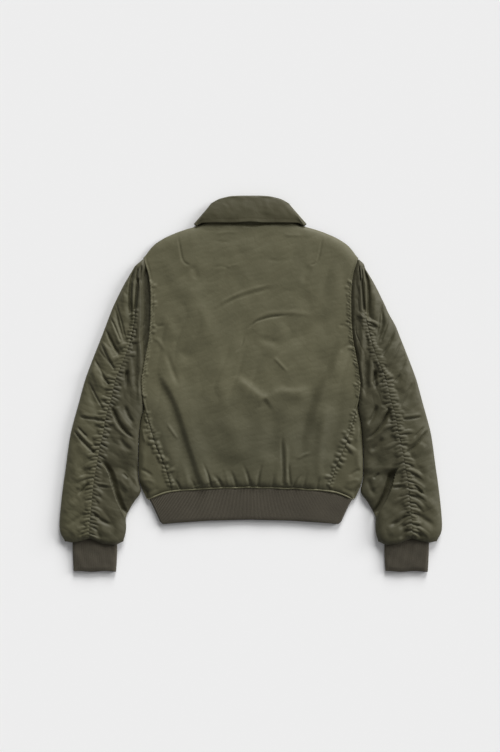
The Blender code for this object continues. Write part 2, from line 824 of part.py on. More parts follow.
def make_collar():
    """One band that is folded along its top edge and wraps round the neck."""
    turn_angles = [90, 60, 30, 0, -30, -60, -90]
    half = [(row, 90) for row in range(COLLAR_SIDE)]
    half += [(COLLAR_SIDE, angle) for angle in turn_angles]
    half += [(row, -90) for row in range(COLLAR_SIDE + 1, COLLAR_FRONT + 1)]
    stations = [(-1, *station) for station in half[:0:-1]] + [(1, *station) for station in half]
    fold_radius = (FALL_REACH - STAND_REACH) / 2
    across = [("fall", 0.0), ("fall", 0.34), ("fall", 0.67), ("fall", 1.0), ("fold", 45),
              ("fold", 0), ("fold", -45), ("stand", 0.0), ("stand", 0.5), ("stand", 1.0)]
    side_neck = np.array((COLLAR_BAND["neck_x"][COLLAR_SIDE], COLLAR_BAND["neck_y"][COLLAR_SIDE]))
    side_fold = np.array((COLLAR_BAND["fold_x"][COLLAR_SIDE], COLLAR_BAND["fold_y"][COLLAR_SIDE]))
    along = (side_fold - side_neck) / np.hypot(*(side_fold - side_neck))
    outward = np.array((along[1], -along[0]))

    def middle(station, place):
        side, row, angle = stations[station]
        neck, fold, free = (
            np.array((COLLAR_BAND.at(edge + "_x", row), COLLAR_BAND.at(edge + "_y", row)))
            for edge in ("neck", "fold", "free")
        )
        kind, value = across[place]
        lift = 0.0
        if kind == "fall":
            flat = free + (fold - free) * value
            reach = FALL_REACH
            if row < COLLAR_SIDE:
                lift = 2.0 * (1 - value) ** 2 * ease(60, 10, abs(flat[0]))
        elif kind == "fold":
            up = (fold - neck) / np.hypot(*(fold - neck))
            bend = math.radians(value)
            flat = fold + up * fold_radius * math.cos(bend)
            reach = STAND_REACH + fold_radius * (1 + math.sin(bend))
        else:
            flat = fold + (neck - fold) * value
            reach = STAND_REACH
        turn = math.radians(angle)
        slide = 0.8 * (value if kind == "fall" else 1 - 0.5 * value if kind == "stand" else 1)
        flat = flat + (outward - along * slide) * reach * math.cos(turn)
        return np.array((side * flat[0], flat[1], COLLAR_MIDDLE + reach * math.sin(turn) + lift))

    grid = np.array([[middle(s, p) for p in range(len(across))] for s in range(len(stations))])
    run = np.empty_like(grid)
    run[1:-1] = grid[2:] - grid[:-2]
    run[0] = grid[1] - grid[0]
    run[-1] = grid[-1] - grid[-2]
    cross = np.empty_like(grid)
    cross[:, 1:-1] = grid[:, 2:] - grid[:, :-2]
    cross[:, 0] = grid[:, 1] - grid[:, 0]
    cross[:, -1] = grid[:, -1] - grid[:, -2]
    normals = np.cross(run, cross)
    normals /= np.linalg.norm(normals, axis=2, keepdims=True)
    outer = grid + normals * COLLAR_WALL / 2
    inner = grid - normals * COLLAR_WALL / 2
    Wall(len(stations) - 1, len(across) - 1, lambda u, v: outer[int(u), v],
         lambda u, v: inner[int(u), v]).object("collar", COLLAR_NYLON, 0.6)


# ---------------------------------------------------------------------------------------- zip

SLIDER_START = 230.4
ZIP_TOP = 246.0
ZIP_BOTTOM = -271.0


def make_zip():
    """Two tapes joined by their closed chain, parted above it round the slider."""
    columns = [-TAPE_HALF, -5.0, -CHAIN_HALF, CHAIN_HALF, 5.0, TAPE_HALF]
    lower = [2.2, 2.2, 1.7, 1.7, 2.2, 2.2]
    upper = [3.6, 3.6, 4.3, 4.3, 3.6, 3.6]
    rows = [ZIP_BOTTOM, -120.0, 40.0, SLIDER_START - SEAM_GAP, ZIP_TOP]
    Wall(
        len(rows) - 1,
        len(columns) - 1,
        lambda u, v: (columns[v], rows[int(u)], lower[v]),
        lambda u, v: (columns[v], rows[int(u)], upper[v]),
        keep=lambda row, column: row < len(rows) - 2 or column in (0, len(columns) - 2),
    ).object("front_zip", ZIP_TAPE, 0.7)


def make_slider():
    """The slider's body, with two lugs on its underside that hold the pull tab."""
    rows = [SLIDER_START, 236.0, 241.0, SLIDER_START + SLIDER_LENGTH]
    columns = [-SLIDER_HALF, -3.5, -2.6, 2.6, 3.5, SLIDER_HALF]
    narrow = [0.84, 1.0, 1.0, 0.8]

    data = bmesh.new()
    layers = {}
    for level, z in (("lug", 0.35), ("under", 1.8), ("top", 5.0)):
        for row, y in enumerate(rows):
            for column, x in enumerate(columns):
                if level == "lug" and not (row in (1, 2) and column in (1, 2, 3, 4)):
                    continue
                width = narrow[row] if column in (0, 5) else 1.0
                layers[level, row, column] = data.verts.new((x * width * MM, y * MM, z * MM))
    last_row = len(rows) - 1
    last_column = len(columns) - 1
    for row in range(last_row):
        for column in range(last_column):
            corners = [(row, column), (row, column + 1), (row + 1, column + 1), (row + 1, column)]
            data.faces.new([layers[("top", *corner)] for corner in corners])
            lug = row == 1 and column in (1, 3)
            data.faces.new([layers[("lug" if lug else "under", *corner)] for corner in corners])
            if lug:
                for start, end in zip(corners, corners[1:] + corners[:1]):
                    data.faces.new([layers[("lug", *start)], layers[("lug", *end)],
                                    layers[("under", *end)], layers[("under", *start)]])
    edge = [(0, column) for column in range(last_column)]
    edge += [(row, last_column) for row in range(last_row)]
    edge += [(last_row, column) for column in range(last_column, 0, -1)]
    edge += [(row, 0) for row in range(last_row, 0, -1)]
    for start, end in zip(edge, edge[1:] + edge[:1]):
        data.faces.new([layers[("under", *start)], layers[("under", *end)],
                        layers[("top", *end)], layers[("top", *start)]])
    bmesh.ops.recalc_face_normals(data, faces=data.faces)
    mesh_data = bpy.data.meshes.new("zip_slider")
    data.to_mesh(mesh_data)
    data.free()
    add_piece("zip_slider", mesh_data, ZIP_METAL, 0.35, 1.0)


def make_pull_tab():
    """A flat tab whose barrel turns between the slider's lugs."""
    thick = 0.55
    outline = [(2.3, 0.6), (2.3, -3.0), (3.2, -4.0), (TAB_HALF, -9.0), (TAB_HALF, 3.0 - TAB_LENGTH),
               (TAB_HALF - 2.0, -TAB_LENGTH)]
    ring = outline + [(-x, y) for x, y in outline[::-1]]
    data = bmesh.new()
    low = [data.verts.new((x * MM, (TAB_PIN_Y + y) * MM, (TAB_PIN_Z - thick) * MM)) for x, y in ring]
    high = [data.verts.new((x * MM, (TAB_PIN_Y + y) * MM, (TAB_PIN_Z + thick) * MM)) for x, y in ring]
    data.faces.new(low)
    data.faces.new(high[::-1])
    for i in range(len(ring)):
        data.faces.new([low[i - 1], low[i], high[i], high[i - 1]])
    bmesh.ops.recalc_face_normals(data, faces=data.faces)
    mesh_data = bpy.data.meshes.new("zip_pull_tab")
    data.to_mesh(mesh_data)
    data.free()
    add_piece("zip_pull_tab", mesh_data, ZIP_METAL, 0.35, 1.0)


for old in list(bpy.data.objects):
    bpy.data.objects.remove(old, do_unlink=True)

jacket = bpy.data.collections.new("bomber_jacket")
bpy.context.scene.collection.children.link(jacket)

make_back()
make_front(LEFT, "front_left")
make_front(RIGHT, "front_right")
make_sleeve(LEFT, "left")
make_sleeve(RIGHT, "right")
make_cuff(LEFT, "cuff_left")
make_cuff(RIGHT, "cuff_right")
make_waistband()
make_collar()
make_zip()
make_slider()
make_pull_tab()
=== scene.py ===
# %% [markdown]
# # A padded bomber jacket, laid out on its front
# The jacket is a nylon flight jacket with a back, two fronts, two-piece sleeves that are shirred on one
# seam, ribbed cuffs and waistband, and a turned-down collar. It lies flat with its back upward.
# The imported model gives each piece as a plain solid. Here each gets its cloth: a thin sheet with the
# same outline, which carries the creases, the gathers and the sewing.
# Cloth could be simulated, or sculpted by hand. A pile of soft ridges and troughs added up as heights is
# chosen, because a garment that lies flat is nearly a height over each point of the table, and so every
# crease can be put where this jacket has it.

# %% Load the fixed frame
import json
import math

import bmesh
import bpy
import numpy as np
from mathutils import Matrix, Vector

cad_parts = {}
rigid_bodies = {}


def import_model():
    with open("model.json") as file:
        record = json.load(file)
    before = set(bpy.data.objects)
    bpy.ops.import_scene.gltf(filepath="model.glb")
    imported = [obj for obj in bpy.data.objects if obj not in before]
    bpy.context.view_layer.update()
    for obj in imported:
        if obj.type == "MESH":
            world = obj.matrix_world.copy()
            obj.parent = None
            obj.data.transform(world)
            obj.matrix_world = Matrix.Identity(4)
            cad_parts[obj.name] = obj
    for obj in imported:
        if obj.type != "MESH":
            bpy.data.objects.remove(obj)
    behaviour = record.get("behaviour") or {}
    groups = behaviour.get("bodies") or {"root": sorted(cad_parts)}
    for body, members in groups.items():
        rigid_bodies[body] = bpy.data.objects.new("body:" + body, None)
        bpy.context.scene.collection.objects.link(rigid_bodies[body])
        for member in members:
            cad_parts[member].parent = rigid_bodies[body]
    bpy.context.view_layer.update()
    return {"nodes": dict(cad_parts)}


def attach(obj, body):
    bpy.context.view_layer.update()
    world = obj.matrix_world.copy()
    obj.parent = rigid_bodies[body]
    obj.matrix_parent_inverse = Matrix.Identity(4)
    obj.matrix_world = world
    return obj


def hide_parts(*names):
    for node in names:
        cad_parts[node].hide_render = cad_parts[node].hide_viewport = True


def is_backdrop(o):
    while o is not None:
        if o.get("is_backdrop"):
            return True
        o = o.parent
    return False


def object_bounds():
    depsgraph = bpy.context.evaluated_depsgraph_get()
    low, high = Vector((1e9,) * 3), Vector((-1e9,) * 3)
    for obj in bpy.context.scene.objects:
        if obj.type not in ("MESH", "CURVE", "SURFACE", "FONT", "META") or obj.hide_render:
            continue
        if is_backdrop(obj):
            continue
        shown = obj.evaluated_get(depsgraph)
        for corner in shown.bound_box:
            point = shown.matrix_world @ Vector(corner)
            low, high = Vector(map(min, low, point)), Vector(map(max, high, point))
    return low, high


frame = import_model()

# %% [markdown]
# ## The cut
# A pattern cutter keeps a garment as a few lines: where each piece ends at each height. These tables
# repeat those lines in millimetres. x counts from the centre line, and y from half way up the jacket, with
# the collar's side positive. Both sides are mirrored. The lines could be curves that are drawn and edited,
# but a table is easier to read and to change. A small class reads it between its rows, and softens corners.

# %% Reading a pattern table
MM = 0.001
SOFT = 8  # how far up and down a line's corners are softened


class Table:
    """Rows with named columns. A value is read between the rows by its first column."""

    def __init__(self, names, rows):
        self.names = names.split()
        self.rows = np.array(sorted(rows), float)

    def __getitem__(self, name):
        return self.rows[:, self.names.index(name)]

    def at(self, name, key, soft=0.0, by=None):
        keys = self[by] if by else self.rows[:, 0]
        order = np.argsort(keys)
        values = self[name][order]
        near = [np.asarray(key) + soft * share for share in np.linspace(-1, 1, 7)]
        return np.mean([np.interp(place, keys[order], values) for place in near], axis=0)


print("halfway between 10 and 20 a line reads", float(Table("y x", [(0, 10), (4, 20)]).at("x", 2)))

# %% The body's lines
# Levels run from the shoulder (0) to the waist (22). side is the armhole's edge or the side seam, fold is
# the side's fold, and bend says how far a level follows the shoulder's slope.
BODY = Table("level y bend side fold", [
    (0, 250, 1.000, 213.0, 213.0), (1, 246, 0.975, 211.9, 211.9), (2, 236, 0.875, 208.6, 208.6),
    (3, 220, 0.775, 203.4, 203.4), (4, 200, 0.725, 200.2, 200.2), (5, 176, 0.700, 199.0, 199.0),
    (6, 152, 0.675, 199.0, 199.0), (7, 128, 0.650, 199.4, 199.4), (8, 104, 0.625, 201.2, 201.2),
    (9, 80, 0.600, 204.2, 204.2), (10, 56, 0.575, 209.2, 209.2), (11, 32, 0.550, 213.4, 213.4),
    (12, 8, 0.525, 217.6, 217.6), (13, -14, 0.490, 216.0, 216.0), (14, -34, 0.450, 213.6, 213.6),
    (15, -52, 0.400, 208.5, 212.4), (16, -74, 0.375, 202.5, 218.2), (17, -98, 0.350, 195.3, 220.8),
    (18, -122, 0.312, 188.3, 222.2), (19, -146, 0.275, 177.5, 222.8), (20, -170, 0.238, 167.2, 222.9),
    (21, -194, 0.175, 160.0, 221.2), (21.6, -204.8, 0.070, 156.4, 214.5), (22, -212, 0.000, 154.0, 204.0)])
UNDERARM, ABOVE_WAIST, WAIST = 15, 21, 22
HEAD_Y, HEAD_HALF = 250, 213  # height and distance of the shoulder's outer end, where the armhole begins
SHOULDER = Table("x back front", [
    (0, 329.7, 249.7), (9, 329.7, 249.7), (24, 329.7, 254.9), (40, 329.0, 260.4), (48, 328.7, 265.8),
    (68, 326.6, 278.3), (72, 326.2, 283.0), (90, 321.8, 300.7), (97, 318.0, 318.0), (111, 314.2, 314.2),
    (127, 309.8, 309.8), (143, 304.4, 304.4), (165, 295.0, 295.0), (171, 292.0, 292.0),
    (190, 280.0, 280.0), (201, 268.0, 268.0), (213, 250.0, 250.0)])
WAIST_LINE = Table("x y under", [
    (0, -204.5, -204.5), (101, -208.0, -217.1), (154, -212.5, -223.7), (171, -215.5, -225.9),
    (190, -223.0, -228.2), (204, -230.0, -230.0)])
HEM = Table("x y", [(0, -272), (79, -274), (150, -279), (168, -281)])
print("armhole edge at the chest", round(float(BODY.at("side", 100, by="y")), 1), "mm from the centre")

# %% The sleeves' lines
SLEEVE = Table("y outer seam inner", [
    (249, 214.5, 213.0, 211.4), (243, 221.5, 214.9, 210.9), (236, 229.5, 219.0, 208.6),
    (220, 239.0, 225.6, 203.4), (200, 251.0, 228.0, 200.2), (176, 263.0, 228.5, 199.0),
    (152, 274.5, 229.0, 199.0), (128, 283.5, 229.5, 199.4), (104, 292.5, 233.8, 201.2),
    (80, 302.0, 239.5, 204.2), (56, 311.5, 248.0, 209.2), (32, 320.8, 258.0, 213.4),
    (8, 329.5, 268.2, 217.6), (-14, 335.5, 273.0, 216.0), (-34, 340.8, 277.0, 213.6),
    (-52, 345.8, 283.5, 212.6), (-74, 352.0, 288.6, 218.4), (-98, 358.2, 291.8, 221.0),
    (-122, 362.0, 298.5, 222.4), (-146, 365.2, 302.5, 223.0), (-170, 368.3, 306.8, 223.1),
    (-194, 372.0, 311.0, 221.8), (-206, 373.5, 312.3, 218.4), (-218, 375.0, 313.5, 215.6),
    (-229, 376.4, 314.6, 226.2), (-242, 377.8, 315.6, 234.8), (-266, 380.0, 318.0, 248.0),
    (-286, 381.0, 320.0, 246.0), (-300, 379.0, 320.4, 247.5), (-317, 368.0, 320.6, 253.0)])
SLEEVE_END = Table("x y", [
    (253, -315), (268, -322.5), (292, -320), (320, -309), (340, -315), (355, -317.5), (368, -315)])
ELBOW = Table("y x", [(-150, 300), (-160, 292), (-176, 281), (-203, 274), (-234, 264), (-266, 249)])
elbow_width = SLEEVE.at("outer", -160) - SLEEVE.at("inner", -160)
print("sleeve at the elbow", round(float(elbow_width)), "mm wide")

# %% [markdown]
# ## Rounded edges and loft
# Padded cloth has no sharp edge and no flat face. `ease` goes smoothly from 0 to 1, `rolled` rounds an edge
# off in a quarter circle, as a turned seam does, and `towards` lets a height down to that of an edge.
# `undulation` is a sum of slow waves, for the loft of the wadding, and `billows` are long puffs with sharp
# valleys. A noise texture could make both, but waves can be told which way to run.

# %% Rounded edges and loft


def ease(start, end, value):
    part = np.clip((value - start) / (end - start), 0, 1)
    return part * part * (3 - 2 * part)


def rolled(away, radius):
    """0 at an edge, 1 from radius inward, in a quarter circle."""
    return np.sqrt(1 - (1 - np.clip(away / radius, 0, 1)) ** 2)


def towards(edge, height, share):
    """The edge's height where share is 0 and the height itself where it is 1."""
    return edge + (height - edge) * share


def undulation(x, y, size, seed, count=18):
    """Slow waves about size millimetres long, between about -1 and 1."""
    random = np.random.default_rng(seed)
    total = np.zeros_like(x)
    for _ in range(count):
        turn = random.uniform(0, math.pi)
        wave = 2 * math.pi / (size * random.uniform(0.7, 1.7))
        total += np.sin(wave * (x * math.cos(turn) + y * math.sin(turn)) + random.uniform(0, 6.3))
    return total / math.sqrt(count)


def billows(x, y, size, turn, seed, count=16):
    """Long puffs side by side, size millimetres wide and running at turn degrees."""
    random = np.random.default_rng(seed)
    total = np.zeros_like(x)
    for _ in range(count):
        way = math.radians(turn + 90 + random.normal(0, 17))
        wave = math.pi / (size * random.uniform(0.75, 1.5))
        total += np.sin(wave * (x * math.cos(way) + y * math.sin(way)) + random.uniform(0, 6.3))
    return np.minimum(abs(total) / math.sqrt(count) * 1.6, 1.6) - 0.8


print("a quarter of the way in, a rolled edge has", round(float(rolled(1, 4)), 2), "of its height")

# %% [markdown]
# ## One crease
# A crease is one soft ridge or trough along a smooth line. It fades in and out, and it can lean, so that
# one flank is steep and the other slow, as in cloth that is pulled from one side. It could be sculpted, but
# a row of numbers can be moved and copied. A row says its rise and width in millimetres and the points that
# it runs through. Where they aren't 0.3, 0.3 and 0, three numbers follow: how much of its length it fades
# in over and fades out over, and its lean. A trough has a negative rise.

# %% One crease


def smooth_line(points, step=1.5):
    """Points close together on a smooth line through a few given ones."""
    p = np.array(points, float)
    p = np.vstack([2 * p[0] - p[1], p, 2 * p[-1] - p[-2]])
    parts = []
    for a, b, c, d in zip(p, p[1:], p[2:], p[3:]):
        t = np.linspace(0, 1, max(2, int(np.linalg.norm(c - b) / step)), endpoint=False)[:, None]
        parts.append(0.5 * (2 * b + (c - a) * t + (2 * a - 5 * b + 4 * c - d) * t ** 2
                            + (3 * b - a - 3 * c + d) * t ** 3))
    return np.vstack(parts + [p[-2:-1]])


def crease(x, y, rise, width, points, fade_in=0.3, fade_out=0.3, lean=0.0):
    """What one crease adds at each point. lean above 0 makes the flank on its left the steeper one."""
    line = smooth_line(points, max(2.0, width / 2))
    low, high = line.min(0) - 2.6 * width, line.max(0) + 2.6 * width
    near = (x > low[0]) & (x < high[0]) & (y > low[1]) & (y < high[1])
    added = np.zeros_like(x)
    start, run = line[:-1], np.diff(line, axis=0)
    px, py = x[near][:, None] - start[:, 0], y[near][:, None] - start[:, 1]
    part = np.clip((px * run[:, 0] + py * run[:, 1]) / (run ** 2).sum(1), 0, 1)
    dx, dy = px - part * run[:, 0], py - part * run[:, 1]
    far = np.hypot(dx, dy)
    best = far.argmin(1)
    row = np.arange(len(best))
    left = np.sign(run[best, 0] * dy[row, best] - run[best, 1] * dx[row, best])
    along = (best + part[row, best]) / len(run)
    strength = ease(0, max(fade_in, 1e-3), along) * ease(1, 1 - max(fade_out, 1e-3), along)
    added[near] = rise * strength * np.exp(-(far[row, best] / width * (1 + lean * left)) ** 2)
    return added


def add_creases(x, y, rows):
    return sum(crease(x, y, *row) for row in rows)


middle = np.array([50.0])
ridge = crease(middle, 0 * middle, 3.0, 10, [(0, 0), (100, 0)])
print("a 3 mm ridge stands", float(ridge[0]), "mm at its middle")

# %% [markdown]
# ## Gathers
# A shirred seam throws up small pleats on both sides: each starts at the stitching, runs out across it,
# widens and dies away. They are joined by their highest, not by their sum, so that round crests meet in
# sharp valleys and a large pleat swallows the small ones beside it.

# %% Gathers
TINY = 1e-6  # the least length that anything is divided by


def lengths(line):
    """How far along a line each of its points lies."""
    return np.concatenate([[0], np.cumsum(np.hypot(*np.diff(line, axis=0).T))])


def gathers(x, y, seam, pitch, reach, rise, seed, slant=0.0, bend=0.0, sides=(-1, 1)):
    """Pleats on the sides of a seam. slant turns them back along it, and bend curves them further."""
    random = np.random.default_rng(seed)
    line = smooth_line(seam, 1.0)
    along = lengths(line)

    def spot(place):
        return np.array([np.interp(place, along, line[:, i]) for i in (0, 1)])

    added = np.zeros_like(x)
    for k in range(int(along[-1] / pitch)):
        place = (k + 0.5 + random.uniform(-0.13, 0.13)) * pitch
        ahead = spot(place + 4) - spot(place)
        ahead /= max(np.hypot(*ahead), TINY)
        tall = rise * random.uniform(0.7, 1.25)
        for side in sides:
            # The pleats of the two sides stand half a pitch apart, as the needle left them.
            origin = spot(place + 0.25 * side * pitch)
            long = reach * random.choice([0.6, 0.8, 1.0, 1.2, 1.9], p=[0.25, 0.25, 0.25, 0.15, 0.1])
            angle = slant + random.normal(0, 0.12)
            out = side * np.array([-ahead[1], ahead[0]]) * math.cos(angle) + ahead * math.sin(angle)
            r = (x - origin[0]) * out[0] + (y - origin[1]) * out[1]
            q = (x - origin[0]) * ahead[0] + (y - origin[1]) * ahead[1] - r * math.sin(angle)
            q = q - bend * r ** 2 / 100
            near = (r > -3) & (r < long) & (abs(q) < 2.2 * pitch)
            width = pitch * 0.55 + 0.06 * np.maximum(r[near], 0)
            fading = ease(-3, 2, r[near]) * ease(long, 0.4 * long, r[near])
            added[near] = np.maximum(added[near], tall * fading * (1 - (q[near] / width) ** 2))
    return added


far_out = gathers(np.array([5.0, 30.0]), np.array([50.0, 50.0]), [(0, 100), (0, 0)], 7, 15, 3.0, 1)
print("pleats 5 mm and 30 mm from a seam rise", [round(float(rise), 1) for rise in far_out], "mm")

# %% [markdown]
# ## Materials
# An image texture could give each cloth, but procedural nodes stay sharp at any size. One function makes
# every cloth here: a drift between two tones and a fleck, threads that run both ways, and a fine crinkle.
# Each pattern is scaled from a real size: Blender's wave texture repeats every 2π/20 of its scaled unit, so
# a spacing in millimetres turns into a scale with one line.

# %% Colour and node helpers


def linear(hex_colour):
    """sRGB hex to the linear colour that a shader takes."""
    parts = [int(hex_colour[i:i + 2], 16) / 255 for i in (1, 3, 5)]
    return [p / 12.92 if p <= 0.04045 else ((p + 0.055) / 1.055) ** 2.4 for p in parts] + [1.0]


def add_node(tree, kind, links=None, **settings):
    """Adds a node. Keys of links are its inputs: a socket is linked and anything else is a value."""
    made = tree.nodes.new("ShaderNode" + kind)
    for name, value in settings.items():
        setattr(made, name, value)
    for key, value in (links or {}).items():
        if isinstance(value, bpy.types.NodeSocket):
            tree.links.new(value, made.inputs[key])
        else:
            made.inputs[key].default_value = value
    return made


def new_material(name, **values):
    """A material with these values on its shader's own sockets, then its node tree, then its shader."""
    made = bpy.data.materials.new(name)
    made.use_nodes = True
    shader = made.node_tree.nodes["Principled BSDF"]
    for key, value in values.items():
        shader.inputs[key.replace("_", " ")].default_value = value
    return made, made.node_tree, shader


print("olive to a shader:", [round(part, 3) for part in linear("#5a5740")])

# %% A woven or knitted cloth


def wave_scale(spacing_mm):
    return 2 * math.pi / (20 * spacing_mm * MM)


def fabric(name, colour, other, thread_mm, angle, roughness, sheen, crinkle_mm, crinkle, thread=0.000008,
           hem_shade=0.0):
    """A cloth whose colour drifts between two tones, with its threads and its fine crinkle as bump.

    crinkle and thread are heights in metres. The last argument is how much more of the other tone the cloth
    shows towards the hem, a painted shade.
    """
    made, tree, shader = new_material(name, IOR=1.5, Specular_IOR_Level=0.35, Sheen_Weight=sheen,
                                      Sheen_Roughness=0.45)
    place = add_node(tree, "TexCoord").outputs["Object"]
    drift = add_node(tree, "TexNoise", {"Vector": place, "Scale": 22.0, "Detail": 3.0})
    fleck = add_node(tree, "TexNoise", {"Vector": place, "Scale": 900.0, "Detail": 2.0})
    mixed = add_node(tree, "Math", {0: drift.outputs["Fac"], 1: fleck.outputs["Fac"]}, operation="ADD")
    tone = add_node(tree, "MapRange", {"Value": mixed.outputs[0], "From Min": 0.7, "From Max": 1.3,
                                       "To Max": 1.0 - hem_shade})
    # A painted shade: the cloth turns to its other, darker tone towards the hem.
    if hem_shade:
        apart = add_node(tree, "SeparateXYZ", {0: place})
        fall = add_node(tree, "MapRange", {"Value": apart.outputs["Y"], "From Min": 30 * MM,
                                           "From Max": -120 * MM, "To Max": hem_shade},
                        interpolation_type="SMOOTHSTEP")
        tone = add_node(tree, "Math", {0: tone.outputs["Result"], 1: fall.outputs["Result"]},
                        operation="ADD")
    blend = add_node(tree, "Mix", {0: tone.outputs[0], 6: linear(colour), 7: linear(other)},
                     data_type="RGBA")
    turned = add_node(tree, "Mapping", {"Vector": place, "Rotation": (0, 0, math.radians(angle))}).outputs[0]
    warp, weft = (add_node(tree, "TexWave", {"Vector": turned, "Scale": wave_scale(spacing),
                                             "Distortion": 1.2, "Detail": 1.0}, bands_direction=way)
                  for spacing, way in ((thread_mm, "X"), (thread_mm * 1.4, "Y")))
    threads = add_node(tree, "Math", {0: warp.outputs["Fac"], 1: weft.outputs["Fac"]}, operation="MULTIPLY")
    fold = add_node(tree, "TexNoise", {"Vector": turned, "Scale": 1 / (crinkle_mm * MM), "Detail": 3.0,
                                       "Roughness": 0.55, "Distortion": 0.6}).outputs["Fac"]
    crumple = add_node(tree, "Bump", {"Height": fold, "Distance": crinkle, "Strength": 1.0})
    weave = add_node(tree, "Bump", {"Height": threads.outputs[0], "Distance": thread, "Strength": 0.7,
                                    "Normal": crumple.outputs["Normal"]})
    rough = add_node(tree, "MapRange", {"Value": fold, "To Min": roughness - 0.05,
                                        "To Max": roughness + 0.07})
    tree.links.new(blend.outputs[2], shader.inputs["Base Color"])
    tree.links.new(weave.outputs["Normal"], shader.inputs["Normal"])
    tree.links.new(rough.outputs["Result"], shader.inputs["Roughness"])
    return made


print("threads 0.9 mm apart need a wave scale of", round(wave_scale(0.9)))

# %% [markdown]
# ## The shell's nylon
# A flight jacket's shell is nylon satin: a filament yarn in a fine twill, dyed olive and pressed. Its
# threads lie in long smooth floats with no fuzz, which gives the eye a broad soft shine. How much light
# comes back depends on which way the floats run. All the panels are this one nylon, but each gets its own
# copy in its own tone, and the copies for the sleeves, fronts and inner panels are a painted shade, darker
# for the shade that those panels lie in. One material could be turned by each panel's own threads, but a
# tone for each panel is plainer to match.

# %% Nylon satin
# A thread is 0.2 mm wide, which is too fine to show, so it is drawn 0.9 mm wide.
SATIN_MM, DRAWN_MM = 0.2, 0.9


def nylon(copy_name, colour, other, angle, crinkle_mm=13.0, hem_shade=0.0):
    """The shell's satin as one copy in its own tone, with its threads turned by angle."""
    return fabric("nylon_satin" + copy_name, colour, other, DRAWN_MM, angle, 0.58, 0.05, crinkle_mm, 0.0005,
                  hem_shade=hem_shade)


# The back's copy is the lightest, and towards the hem it is painted a shade darker.
NYLON = nylon("", "#5a5740", "#484633", 0, hem_shade=0.7)
# Sleeves and fronts are a little darker: a painted shade of the same nylon.
SLEEVE_SHADE_NYLON = nylon("_sleeve", "#504d38", "#494732", 12)
# The right sleeve's upper panel faces the side light. Made a shade darker, it looks like the left one.
DARKER_NYLON = nylon("_darker", "#494632", "#42402d", 12)
# The inner panels, whose threads run across the roll, are darker still: a painted shade for the shade beside
# the body.
INNER_SHADE_NYLON = nylon("_crosswise_painted_shade", "#44412e", "#3e3c2a", 80)
COLLAR_NYLON = nylon("_collar", "#45422d", "#403d29", 90, crinkle_mm=12.0)
print("nylon threads are drawn", DRAWN_MM / SATIN_MM, "times as coarse as they are")

# %% [markdown]
# ## Rib, thread, edging and tape
# The bands are knitted, the thread is spun, and the tape is woven, each of another yarn, and each takes the
# light in its own way. They share the nylon's function, because each is still two tones, threads and a
# crinkle: what differs is how far apart its threads lie, how rough it is and how much fuzz it has.

# %% Rib, thread, edging and tape
# Acrylic yarn spun like wool and knitted in rib: matt and fuzzy, a little browner than the shell.
RIB = fabric("acrylic_rib", "#484337", "#3f3a2f", 1.5, 0, 0.88, 0.25, 4.0, 0.0003, 0.0003)
# Spun polyester sewing thread, paler than the nylon that it holds, so that each stitch is a light speck.
THREAD = fabric("polyester_thread", "#77745b", "#6a674f", 0.5, 45, 0.6, 0.1, 2.0, 0.0001)
# The nylon's own edge, turned and pressed over the rib. Its copy is paler than the nylon: a painted
# highlight for the light that it catches as one pale line.
EDGING_HIGHLIGHT = fabric("nylon_edging_painted_highlight", "#6b6850", "#625f48", DRAWN_MM, 0, 0.55, 0.05, 6.0, 0.0003)
# Polyester tape in a tight herringbone weave, which looks flat and dull.
TAPE = fabric("zip_tape_polyester", "#47442f", "#3f3c2b", 0.8, 0, 0.75, 0.15, 5.0, 0.0002)
print("other cloths:", [made.name for made in (RIB, THREAD, EDGING_HIGHLIGHT, TAPE)])

# %% [markdown]
# ## A sheet from a grid
# Every cloth piece is a grid of points: rows run down the jacket and columns across it. It could be a flat
# plane that a modifier bends, but arrays of numbers say where each point goes. One function makes a piece
# that moves with the jacket from points and faces, and another makes those from the grid's three arrays.
# The first column's faces tell which way is out.

# %% Sheet builder


def settled(x, y):
    """Laid out, the right half of the jacket was pulled 5 mm wider than the left."""
    # Only the head of the sleeve, beside the shoulder, stayed where it was.
    held = ease(110, 150, y) * ease(244, 232, y) * ease(205, 235, x)
    return x + 5.0 * np.clip(x / 200, 0, 1) * (1 - 1.1 * held)


def new_piece(name, points, faces, material, node=None, smooth=True, weld=False):
    """A mesh that rides on the jacket, from points in millimetres. It can stand for a node's solid."""
    mesh = bpy.data.meshes.new(name)
    mesh.from_pydata((np.asarray(points) * MM).tolist(), [], faces)
    if weld:
        whole = bmesh.new()
        whole.from_mesh(mesh)
        bmesh.ops.remove_doubles(whole, verts=whole.verts, dist=MM / 1000)
        whole.to_mesh(mesh)
        whole.free()
    mesh.validate()
    mesh.polygons.foreach_set("use_smooth", np.full(len(mesh.polygons), smooth))
    mesh.materials.append(material)
    made = bpy.data.objects.new(name, mesh)
    bpy.context.scene.collection.objects.link(made)
    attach(made, "jacket")
    if node:
        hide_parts(node)
    return made


